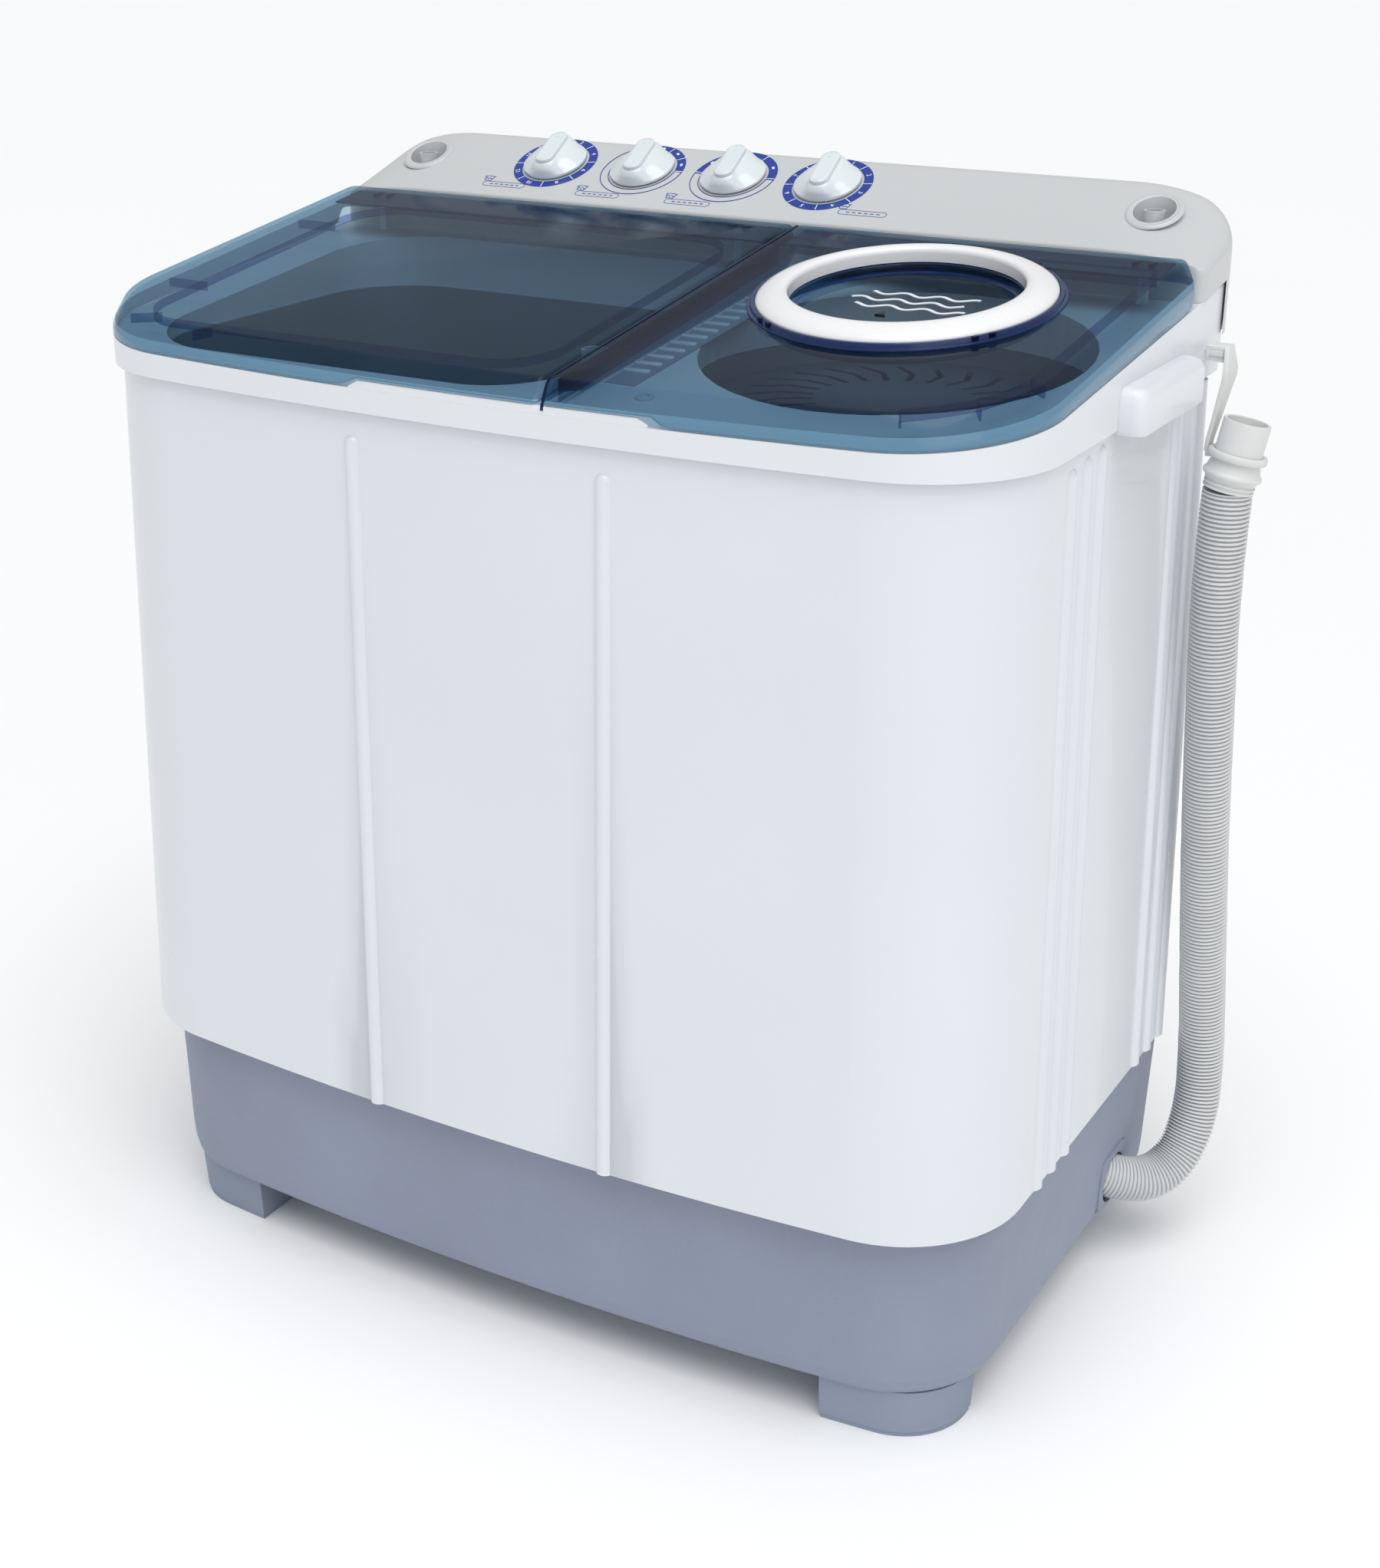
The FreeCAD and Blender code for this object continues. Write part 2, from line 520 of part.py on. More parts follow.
inl = []
for sx in (-1, 1):
    zt = panel_z(176)
    cup = cyl(17.3, (sx * 317, 176, 812), (0, 0, 1), 50).cut(cyl(15.3, (sx * 317, 176, 816), (0, 0, 1), 90))
    cup = cup.common(poly_x([(100, 700), (260, 700), (260, panel_z(260) + 1.2), (100, panel_z(100) + 1.2)], -500, 500))
    sp = cyl(8.0, (sx * 317, 176, 812), (0, 0, 1), zt - 812 + 1.0).fuse(cyl(9.2, (sx * 317, 176, 770), (0, 0, 1), 46.0))
    inl.append(cup.fuse(sp).cut(cyl(6.0, (sx * 317, 176, 760), (0, 0, 1), 100)).removeSplitter())
save("water_inlets", Part.Compound(inl), 2)

knob_shape = cone(KNOB_R, KNOB_R - 1.0, (0, 0, 1.4), (0, 0, 1), 3.0).fuse(cone(KNOB_R - 1.0, 17.0, (0, 0, 4.4), (0, 0, 1), 10.0))
knob_shape = fillet(knob_shape.removeSplitter(), 2.5, lambda e: e.BoundBox.ZMin > 14.3)
bar = rbox(-23, 23, -7, 7, 6.95, 3, 21.0).common(cone(KNOB_R - 0.4, 20.5, (0, 0, 3), (0, 0, 1), 18))
bar = fillet(bar, 1.2, lambda e: e.BoundBox.ZMin > 20.9)
bar.rotate(V(0, 0, 0), V(0, 0, 1), 74)
knob_shape = knob_shape.fuse(bar).fuse(cyl(3.0, (0, 0, -26), (0, 0, 1), 30)).removeSplitter()
timers, switches = [], []
for i, kx in enumerate(KNOB_X):
    nm = ("wash_timer_knob", "wash_selector_knob", "drain_selector_knob", "spin_timer_knob")[i]
    k = knob_shape.copy()
    k.rotate(V(0, 0, 0), V(1, 0, 0), math.degrees(PANEL_SLOPE))
    k.translate(V(*on_panel(kx, KNOB_Y, 0)))
    save(nm, k, 1)
    hh = 30 if i in (0, 3) else 20
    b = rbox(-24, 24, -20, 20, 4, -hh, -6).fuse(cyl(7, (0, 0, -7), (0, 0, 1), 3))
    b = b.cut(cyl(3.05, (0, 0, -40), (0, 0, 1), 60))
    b.rotate(V(0, 0, 0), V(1, 0, 0), math.degrees(PANEL_SLOPE))
    b.translate(V(*on_panel(kx, KNOB_Y, 0)))
    (timers if i in (0, 3) else switches).append(b)
save("timers", Part.Compound(timers), 2)
save("selector_switches", Part.Compound(switches), 2)

# ---------------------------------------------------------------- tubs
x0, x1, y0, y1, r = WASH_TOP
X0, X1, Y0, Y1, R = WASH_BOT
tub = loft(rwire(X0, X1, Y0, Y1, R, 300), rwire(x0, x1, y0, y1, r, TUB_TOP))
tub = tub.fuse(rbox(x0 - 8, x1 + 8, y0 - 8, y1 + 8, r + 8, TUB_TOP - 3.5, TUB_TOP))
tub = tub.cut(loft(rwire(X0 + 2.6, X1 - 2.6, Y0 + 2.6, Y1 - 2.6, R - 2.6, 303), rwire(x0 + 2.6, x1 - 2.6, y0 + 2.6, y1 - 2.6, r - 2.6, TUB_TOP + 0.1)))
tub = tub.cut(cyl(9.0, (WASH_X, WASH_Y, 290), (0, 0, 1), 30))
tub = tub.cut(cyl(13.0, (-10, 60, 290), (0, 0, 1), 30))
save("wash_tub", tub.removeSplitter(), 1)

pul = cone(PULSATOR_R - 6, PULSATOR_R, (WASH_X, WASH_Y, 305), (0, 0, 1), 5).fuse(cone(PULSATOR_R, 60, (WASH_X, WASH_Y, 310), (0, 0, 1), 12))
pul = pul.fuse(cone(30, 24, (WASH_X, WASH_Y, 315), (0, 0, 1), 30))
for i in range(4):
    fin = poly_x([(-7, 0), (7, 0), (2.5, 22), (-2.5, 22)], 18, PULSATOR_R - 14)
    fin.rotate(V(0, 0, 0), V(0, 0, 1), 90 * i + 20)
    fin.translate(V(WASH_X, WASH_Y, 310))
    pul = pul.fuse(fin)
save("pulsator", pul.removeSplitter(), 1)
sh = cyl(7.0, (WASH_X, WASH_Y, 96), (0, 0, 1), 209)
save("pulsator_shaft", sh, 1)
pk = cyl(85, (WASH_X, WASH_Y, 104), (0, 0, 1), 14)
pk = pk.cut(Part.makeTorus(89, 8, V(WASH_X, WASH_Y, 111))).cut(cyl(7.0, (WASH_X, WASH_Y, 90), (0, 0, 1), 40))
for i in range(5):
    a = math.radians(72 * i)
    pk = pk.cut(cyl(15, (WASH_X + 50 * math.cos(a), WASH_Y + 50 * math.sin(a), 90), (0, 0, 1), 40))
save("wash_pulley", pk, 1)
gb = cyl(58, (WASH_X, WASH_Y, 135), (0, 0, 1), 75).fuse(cyl(26, (WASH_X, WASH_Y, 205), (0, 0, 1), 78)).fuse(cyl(20, (WASH_X, WASH_Y, 124), (0, 0, 1), 20))
gb = gb.fuse(cyl(80, (WASH_X, WASH_Y, 281), (0, 0, 1), 8)).cut(cyl(7.06, (WASH_X, WASH_Y, 80), (0, 0, 1), 260))
save("gearbox_housing", gb.removeSplitter(), 1)
save("pulsator_seal", cyl(17, (WASH_X, WASH_Y, 289.2), (0, 0, 1), 10.6).cut(cyl(7.06, (WASH_X, WASH_Y, 280), (0, 0, 1), 30)), 1)
plate = rbox(-280, 60, -110, 144, 20, 289.2, 291.2).cut(cyl(18, (WASH_X, WASH_Y, 280), (0, 0, 1), 30)).cut(cyl(16, (-10, 60, 280), (0, 0, 1), 30))
save("motor_mounting_plate", plate, 1)
MX, MY = WASH_X + 118, WASH_Y + 110
mot = cyl(60, (MX, MY, 140), (0, 0, 1), 92).fuse(cyl(22, (MX, MY, 130), (0, 0, 1), 12)).cut(cyl(6.05, (MX, MY, 100), (0, 0, 1), 70))
for a in (0, 90, 180, 270):
    ax, ay = MX + 66 * math.cos(math.radians(a)), MY + 66 * math.sin(math.radians(a))
    mot = mot.fuse(cyl(8, (ax, ay, 210), (0, 0, 1), 12))
    mot = mot.fuse(cyl(4, (ax, ay, 215), (0, 0, 1), 74.2))
save("wash_motor", mot.removeSplitter(), 1)
mp = cyl(22, (MX, MY, 104), (0, 0, 1), 14).cut(Part.makeTorus(26, 8, V(MX, MY, 111))).fuse(cyl(6.0, (MX, MY, 100), (0, 0, 1), 66))
save("motor_pulley", mp.removeSplitter(), 1)

# belt: two straight runs and two arcs round the pulleys
d = math.hypot(MX - WASH_X, MY - WASH_Y)
ang = math.atan2(MY - WASH_Y, MX - WASH_X)
R1, R2 = 83.5, 20.5
beta = math.acos((R1 - R2) / d)


def bp(cx, cy, rr, a):
    return V(cx + rr * math.cos(a), cy + rr * math.sin(a), 111)


be = [Part.LineSegment(bp(WASH_X, WASH_Y, R1, ang + beta), bp(MX, MY, R2, ang + beta)).toShape(),
      Part.Arc(bp(MX, MY, R2, ang + beta), bp(MX, MY, R2, ang), bp(MX, MY, R2, ang - beta)).toShape(),
      Part.LineSegment(bp(MX, MY, R2, ang - beta), bp(WASH_X, WASH_Y, R1, ang - beta)).toShape(),
      Part.Arc(bp(WASH_X, WASH_Y, R1, ang - beta), bp(WASH_X, WASH_Y, R1, ang + math.pi), bp(WASH_X, WASH_Y, R1, ang + beta)).toShape()]
bw = Part.Wire(be)
o = bw.makeOffset2D(6.2)
i_ = bw.makeOffset2D(2.6)
belt = Part.Face(o).cut(Part.Face(i_)).extrude(V(0, 0, 7))
belt.translate(V(0, 0, -3.5))
save("drive_belt", belt, 1)

# spin side
st = cyl(SPIN_TUB_R, (SPIN_X, SPIN_Y, 296), (0, 0, 1), 437).cut(cyl(SPIN_TUB_R - 2.6, (SPIN_X, SPIN_Y, 299), (0, 0, 1), 500))
st = st.cut(cyl(26, (SPIN_X, SPIN_Y, 280), (0, 0, 1), 40)).cut(cyl(13, (150, 44, 280), (0, 0, 1), 40))
st = st.fuse(cyl(SPIN_TUB_R - 1, (SPIN_X, SPIN_Y, 708), (0, 0, 1), 2.7).cut(cyl(112, (SPIN_X, SPIN_Y, 700), (0, 0, 1), 20)))   # ledge for the cover
save("spin_tub", st.removeSplitter(), 1)
seal = cyl(36, (SPIN_X, SPIN_Y, 299.1), (0, 0, 1), 4).fuse(cone(24, 14, (SPIN_X, SPIN_Y, 270), (0, 0, 1), 30)).cut(
    cyl(8.1, (SPIN_X, SPIN_Y, 260), (0, 0, 1), 60)).cut(cone(21, 11, (SPIN_X, SPIN_Y, 269.9), (0, 0, 1), 29.9))
seal = seal.cut(cyl(25.9, (SPIN_X, SPIN_Y, 260), (0, 0, 1), 36).cut(cyl(24.9, (SPIN_X, SPIN_Y, 255), (0, 0, 1), 60)))
save("spin_bellows_seal", seal.removeSplitter(), 1)
bas = cyl(BASKET_R, (SPIN_X, SPIN_Y, 322), (0, 0, 1), 372).fuse(cyl(BASKET_R + 3, (SPIN_X, SPIN_Y, 690), (0, 0, 1), 6))
bas = bas.cut(cyl(BASKET_R - 2.4, (SPIN_X, SPIN_Y, 325), (0, 0, 1), 500))
hol = []
for k in range(9):
    for i in range(12):
        a = math.radians(30 * i + (15 if k % 2 else 0))
        hol.append(cyl(3.2, (SPIN_X, SPIN_Y, 365 + 36 * k), (math.cos(a), math.sin(a), 0), 130))
for h in hol:
    bas = bas.cut(h)
bas = bas.fuse(cone(60, 30, (SPIN_X, SPIN_Y, 324), (0, 0, 1), 24)).cut(cyl(8.0, (SPIN_X, SPIN_Y, 300), (0, 0, 1), 36))
save("spin_basket", bas.removeSplitter(), 1)
save("spin_shaft", cyl(8.0, (SPIN_X, SPIN_Y, 150), (0, 0, 1), 186), 1)
dr = cyl(55, (SPIN_X, SPIN_Y, 196), (0, 0, 1), 26).cut(cyl(51, (SPIN_X, SPIN_Y, 190), (0, 0, 1), 22)).fuse(
    cyl(20, (SPIN_X, SPIN_Y, 198), (0, 0, 1), 36)).cut(cyl(8.0, (SPIN_X, SPIN_Y, 180), (0, 0, 1), 80))
save("brake_drum", dr.removeSplitter(), 1)
sm = cyl(64, (SPIN_X, SPIN_Y, 66), (0, 0, 1), 104).fuse(cyl(22, (SPIN_X, SPIN_Y, 168), (0, 0, 1), 12)).cut(cyl(8.06, (SPIN_X, SPIN_Y, 140), (0, 0, 1), 80))
tri = []
for a in (90, 210, 330):
    ax, ay = SPIN_X + 84 * math.cos(math.radians(a)), SPIN_Y + 84 * math.sin(math.radians(a))
    arm = box(0, 90, -9, 9, 66, 70)
    arm.rotate(V(0, 0, 0), V(0, 0, 1), a)
    arm.translate(V(SPIN_X, SPIN_Y, 0))
    sm = sm.fuse(arm)
    tri.append(cyl(12, (ax, ay, Z_BASE + 4), (0, 0, 1), 66 - Z_BASE - 4).cut(cyl(8.5, (ax, ay, 20), (0, 0, 1), 60)))
sm = sm.removeSplitter()
save("spin_motor", sm, 1)
save("spin_motor_springs", Part.Compound(tri), 3)
shoe = cyl(59.5, (SPIN_X, SPIN_Y, 204), (0, 0, 1), 12).cut(cyl(55.6, (SPIN_X, SPIN_Y, 200), (0, 0, 1), 30)).common(
    box(SPIN_X - 80, SPIN_X - 20, SPIN_Y - 60, SPIN_Y + 60, 190, 230))
save("brake_shoe", shoe, 1)
BLX, BLY = SPIN_X - 74, SPIN_Y + 36
lev = box(BLX - 5, BLX + 5, BLY - 60, BLY + 8, 206, 210).fuse(cyl(7, (BLX, BLY, 204), (0, 0, 1), 8)).cut(cyl(3.0, (BLX, BLY, 190), (0, 0, 1), 40))
save("brake_lever", lev.removeSplitter(), 1)
pst = cyl(2.94, (BLX, BLY, Z_BASE + 4), (0, 0, 1), 218 - Z_BASE).fuse(cyl(9, (BLX, BLY, Z_BASE + 4), (0, 0, 1), 192 - Z_BASE)).fuse(cyl(5, (BLX, BLY, 213), (0, 0, 1), 9))
save("brake_pivot_post", pst.removeSplitter(), 1)

# ---------------------------------------------------------------- drain and water path
DV = (-10.0, 60.0)
vb = cyl(24, (DV[0], DV[1], 236), (0, 0, 1), 53).cut(cyl(20, (DV[0], DV[1], 240), (0, 0, 1), 60))
vb = vb.cut(cyl(9.0, (DV[0], DV[1] + 30, 252), (0, -1, 0), 30)).cut(cyl(5.1, (DV[0], DV[1], 230), (0, 0, 1), 20))
vb = vb.fuse(cyl(12.9, (DV[0], DV[1], 288), (0, 0, 1), 14).cut(cyl(10.5, (DV[0], DV[1], 280), (0, 0, 1), 30)).fuse(
    cyl(24, (DV[0], DV[1], 287), (0, 0, 1), 2).cut(cyl(10.5, (DV[0], DV[1], 280), (0, 0, 1), 30))))
vb = vb.removeSplitter()
save("drain_valve_body", vb, 1)
pl = cyl(16.5, (DV[0], DV[1], 258), (0, 0, 1), 8).fuse(cyl(5.0, (DV[0], DV[1], 234.6), (0, 0, 1), 25.4))
save("drain_valve_plunger", pl.removeSplitter(), 1)


def tube_path(pts, r, ri=None, ratio=0.45, name=None):
    P = [V(*p) for p in pts]
    edges, last, radii = [], P[0], []
    for i in range(1, len(P) - 1):
        a, b = P[i - 1] - P[i], P[i + 1] - P[i]
        la, lb = a.Length, b.Length
        a.normalize()
        b.normalize()
        turn = math.pi - a.getAngle(b)
        tl = ratio * min(la, lb)
        rad = tl / math.tan(turn / 2)
        radii.append((round(math.degrees(turn), 1), round(rad, 1)))
        p0, p1 = P[i] + a * tl, P[i] + b * tl
        bis = a + b
        bis.normalize()
        dist = rad / math.cos(turn / 2) - rad
        pm = P[i] + bis * dist
        edges.append(Part.LineSegment(last, p0).toShape())
        edges.append(Part.Arc(p0, pm, p1).toShape())
        last = p1
    edges.append(Part.LineSegment(last, P[-1]).toShape())
    w = Part.Wire(edges)
    d0 = P[1] - P[0]
    prof = Part.Wire([Part.makeCircle(r, P[0], d0)])
    s = w.makePipeShell([prof], True, False)
    if ri:
        s = s.cut(w.makePipeShell([Part.Wire([Part.makeCircle(ri, P[0], d0)])], True, False))
    if name:
        runs = [round((P[i + 1] - P[i]).Length, 1) for i in range(len(P) - 1)]
        print(name, "runs", runs, "turn and radius", radii, "length", round(w.Length, 1),
              "volume ratio", round(s.Volume / (math.pi * (r * r - (ri or 0) ** 2) * w.Length), 4))
    return s


p1 = tube_path([(DV[0], DV[1] + 24.5, 252), (DV[0], 108, 252), (60, 140, 236), (160, 140, 180), (240, 128, 110), (300, 112, 79), (340.6, 112, 76)], 13, 10.5)
save("drain_pipe", p1)
p2 = cyl(12.9, (150, 44, 286), (0, 0, 1), 16).cut(cyl(10.5, (150, 44, 270), (0, 0, 1), 40)).fuse(
    cyl(13, (150, 44, 205), (0, 0, 1), 88).cut(cyl(10.5, (150, 44, 190), (0, 0, 1), 120)))
save("spin_drain_pipe", p2.removeSplitter(), 1)
spig = box(349.3, 352.3, 84, 152, 46.8, 104).fuse(cyl(16, (342.0, 112, 76), (1, 0, 0), 12)).cut(cyl(12.0, (338, 112, 76), (1, 0, 0), 40))
save("drain_outlet", spig.removeSplitter(), 1)
lf = rbox(-108, -44, 76, 94, 5, 470, 700).cut(rbox(-106, -46, 78, 92, 4, 476, 710))
for i in range(7):
    for j in range(4):
        lf = lf.cut(box(-102 + j * 14, -93 + j * 14, 70, 80, 500 + i * 26, 518 + i * 26))
save("lint_filter", lf, 1)
duct = rbox(-330, 330, 186, 204, 4, 764, 776).cut(rbox(-328, 328, 188, 202, 3, 766, 774))
for sx in (-1, 1):
    duct = duct.fuse(rbox(sx * 317 - 12, sx * 317 + 12, 164, 190, 4, 761, 769.9))
save("water_duct", duct.removeSplitter())
cap = cyl(20, (90, 170, Z_BASE + 4.1), (0, 0, 1), 94 - Z_BASE)
save("motor_capacitor", cap.fuse(cyl(3, (82, 170, 96), (0, 0, 1), 9)).fuse(cyl(3, (98, 170, 96), (0, 0, 1), 9)).removeSplitter(), 1)

# screws that hold the top frame to the cabinet, from the rear
sc = []
for x in (-330, -165, 0, 165, 330):
    sc.append(cyl(4.2, (x, 214.0, 728), (0, 1, 0), 2.4).fuse(cyl(1.9, (x, 211, 728), (0, 1, 0), 4)))
frame_scr = sc
save("frame_screws", Part.Compound(sc), 5)

# ---------------------------------------------------------------- drain hose
hose = tube_path(ROUTE, HOSE_D / 2, None, 0.45, "hose")
save("drain_hose", hose, 1)
e0, e1 = V(*ROUTE[-2]), V(*ROUTE[-1])
ax = (e1 - e0)
ax.normalize()
tip = V(*CUFF_TIP)
dd = tip - e1
L = dd.Length
dd.normalize()
mid = e1 + dd * 12
cuff = Part.makeCylinder(HOSE_D / 2 + 1.5, 14, e1 + dd * 0.0, dd).fuse(Part.makeCone(HOSE_D / 2 + 1.5, HOSE_D / 2 - 1.0, 6, e1 + dd * 14, dd)).fuse(
    Part.makeCylinder(HOSE_D / 2 - 1.0, L - 20, e1 + dd * 20, dd)).fuse(Part.makeTorus(HOSE_D / 2 + 1.2, 1.6, e1 + dd * 12, dd))
cuff = cuff.cut(Part.makeCylinder(HOSE_D / 2 - 3.5, L, e1 + dd * 8, dd))
# keep the lower face flush with the hose end
half = Part.makeBox(200, 200, 200)
half.Placement = FreeCAD.Placement(V(0, 0, 0), FreeCAD.Rotation(V(0, 0, 1), ax))
c0 = half.Placement.Rotation.multVec(V(-100, -100, -200))
half.translate(e1 + c0)
cuff = cuff.cut(half)
save("hose_cuff", cuff.removeSplitter(), 1)
def quad(x0, x1, y0, y1, z):
    return Part.makePolygon([V(x0, y0, z), V(x1, y0, z), V(x1, y1, z), V(x0, y1, z), V(x0, y0, z)])


ring_c = e1 + dd * 22.5
hang = loft(quad(387.4, 391.0, 138, 152, 743), quad(390.0, 393.6, 130, 158, 722))
hang = hang.fuse(loft(quad(390.0, 393.6, 130, 158, 722), quad(380.6, 383.8, 132, 144, 668)))
hang = hang.fuse(box(374.0, 391.0, 138, 152, 739.05, 743)).fuse(box(374.0, 377.0, 138, 152, 733, 743))
hang = hang.fuse(Part.makeCylinder(21.5, 5.5, ring_c, dd)).cut(Part.makeCylinder(HOSE_D / 2 - 0.9, 30, ring_c - dd * 10, dd))
hang = hang.cut(box(360, 387.3, 139.7, 150.3, 728, 739.04))
save("hose_hanger", hang.removeSplitter(), 1)

allb = Part.Compound([s for n, s in written.items() if n not in ("drain_hose", "hose_cuff", "hose_hanger")])
b = allb.BoundBox
print("object box without hose", round(b.XMin, 2), round(b.XMax, 2), round(b.YMin, 2), round(b.YMax, 2), round(b.ZMin, 2), round(b.ZMax, 2), "nodes", len(written))
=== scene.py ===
import math
import bpy
import bmesh
from mathutils import Vector, Matrix


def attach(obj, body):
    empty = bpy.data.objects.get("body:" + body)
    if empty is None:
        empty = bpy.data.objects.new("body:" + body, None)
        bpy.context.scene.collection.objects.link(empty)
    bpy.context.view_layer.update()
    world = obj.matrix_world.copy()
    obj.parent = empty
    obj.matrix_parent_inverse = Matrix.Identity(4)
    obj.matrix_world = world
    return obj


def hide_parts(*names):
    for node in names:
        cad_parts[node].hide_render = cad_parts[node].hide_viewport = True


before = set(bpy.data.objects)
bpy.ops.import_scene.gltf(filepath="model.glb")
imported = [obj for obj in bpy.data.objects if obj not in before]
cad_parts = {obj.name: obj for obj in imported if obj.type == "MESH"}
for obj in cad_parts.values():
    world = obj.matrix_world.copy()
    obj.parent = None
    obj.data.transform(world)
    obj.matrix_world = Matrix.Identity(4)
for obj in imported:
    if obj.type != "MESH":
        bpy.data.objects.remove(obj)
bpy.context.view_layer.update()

YS = 0.011          # the design frame is shifted back by this much
PI = math.pi


def cad(x, y, z):
    """Design millimetres to metres in the shared frame."""
    return Vector((x / 1000.0, y / 1000.0 + YS, z / 1000.0))


# ================================================================== camera
cam_data = bpy.data.cameras.new("camera")
cam = bpy.data.objects.new("camera", cam_data)
bpy.context.scene.collection.objects.link(cam)
cam_data.sensor_width = 36.0
cam_data.sensor_fit = "AUTO"
cam_data.lens = 3051.61 * 36.0 / 2044.0
cam_data.shift_x = 80.0 / 2044.0
cam_data.shift_y = -60.0 / 2044.0
m = Matrix((Vector((0.86187, 0.50713, 0.0)), Vector((-0.18327, 0.31147, 0.93241)),
            Vector((0.47285, -0.80362, 0.36139)))).transposed().to_4x4()
m.translation = cad(855.39, -1483.58, 1081.27)
cam.matrix_world = m
bpy.context.scene.camera = cam


# ================================================================== materials
def lin(r, g, b):
    f = lambda v: ((v / 255 + 0.055) / 1.055) ** 2.4 if v > 10 else v / 255 / 12.92
    return (f(r), f(g), f(b))


def mat(name, col, rough=0.35, var=0.03, var_scale=5.0, grain=0.0, grain_scale=1200.0, coat=0.0, ior=1.46,
        alpha=1.0, metallic=0.0, rough_var=0.05, stretch=(1, 1, 1), trans=0.0, spec=None, coat_rough=0.06, wave=0.0):
    """Procedural plastic or metal: slow colour drift, patchy roughness and a fine surface grain."""
    mt = bpy.data.materials.new(name)
    mt.use_nodes = True
    nt = mt.node_tree
    n, lk = nt.nodes, nt.links
    n.clear()
    out = n.new("ShaderNodeOutputMaterial")
    bs = n.new("ShaderNodeBsdfPrincipled")
    lk.new(bs.outputs[0], out.inputs[0])
    tc = n.new("ShaderNodeTexCoord")
    mp = n.new("ShaderNodeMapping")
    mp.inputs["Scale"].default_value = stretch
    lk.new(tc.outputs["Object"], mp.inputs["Vector"])
    n1 = n.new("ShaderNodeTexNoise")
    n1.inputs["Scale"].default_value = var_scale
    n1.inputs["Detail"].default_value = 4.0
    lk.new(mp.outputs[0], n1.inputs["Vector"])
    rp = n.new("ShaderNodeValToRGB")
    rp.color_ramp.elements[0].position = 0.3
    rp.color_ramp.elements[1].position = 0.7
    rp.color_ramp.elements[0].color = (*[max(0.0, c * (1 - var)) for c in col], 1)
    rp.color_ramp.elements[1].color = (*[min(1.0, c * (1 + var)) for c in col], 1)
    lk.new(n1.outputs["Fac"], rp.inputs[0])
    lk.new(rp.outputs[0], bs.inputs["Base Color"])
    n2 = n.new("ShaderNodeTexNoise")
    n2.inputs["Scale"].default_value = 60.0
    n2.inputs["Detail"].default_value = 5.0
    lk.new(mp.outputs[0], n2.inputs["Vector"])
    mr = n.new("ShaderNodeMapRange")
    mr.inputs["To Min"].default_value = max(0.0, rough - rough_var)
    mr.inputs["To Max"].default_value = min(1.0, rough + rough_var)
    lk.new(n2.outputs["Fac"], mr.inputs["Value"])
    lk.new(mr.outputs[0], bs.inputs["Roughness"])
    n3 = n.new("ShaderNodeTexNoise")
    n3.inputs["Scale"].default_value = grain_scale
    n3.inputs["Detail"].default_value = 2.0
    lk.new(mp.outputs[0], n3.inputs["Vector"])
    bp = n.new("ShaderNodeBump")
    bp.inputs["Strength"].default_value = grain if grain > 0 else 0.03
    bp.inputs["Distance"].default_value = 0.0004
    lk.new(n3.outputs["Fac"], bp.inputs["Height"])
    last = bp
    if wave > 0:
        n4 = n.new("ShaderNodeTexNoise")
        n4.inputs["Scale"].default_value = 7.0
        n4.inputs["Detail"].default_value = 1.0
        lk.new(tc.outputs["Object"], n4.inputs["Vector"])
        b2 = n.new("ShaderNodeBump")
        b2.inputs["Strength"].default_value = wave
        b2.inputs["Distance"].default_value = 0.004
        lk.new(n4.outputs["Fac"], b2.inputs["Height"])
        lk.new(bp.outputs[0], b2.inputs["Normal"])
        last = b2
    lk.new(last.outputs[0], bs.inputs["Normal"])
    bs.inputs["Metallic"].default_value = metallic
    bs.inputs["IOR"].default_value = ior
    bs.inputs["Coat Weight"].default_value = coat
    bs.inputs["Coat Roughness"].default_value = coat_rough
    bs.inputs["Alpha"].default_value = alpha
    bs.inputs["Transmission Weight"].default_value = trans
    if spec is not None:
        bs.inputs["Specular IOR Level"].default_value = spec
    mt.diffuse_color = (*col, alpha)
    return mt


def tinted(mt, solid, colour):
    """Clear tinted plastic: a share of the surface shader over a coloured pane."""
    nt = mt.node_tree
    out = [x for x in nt.nodes if x.type == "OUTPUT_MATERIAL"][0]
    bs = [x for x in nt.nodes if x.type == "BSDF_PRINCIPLED"][0]
    tr = nt.nodes.new("ShaderNodeBsdfTransparent")
    tr.inputs[0].default_value = (*colour, 1)
    mx = nt.nodes.new("ShaderNodeMixShader")
    mx.inputs[0].default_value = solid
    nt.links.new(tr.outputs[0], mx.inputs[1])
    nt.links.new(bs.outputs[0], mx.inputs[2])
    nt.links.new(mx.outputs[0], out.inputs[0])
    return mt


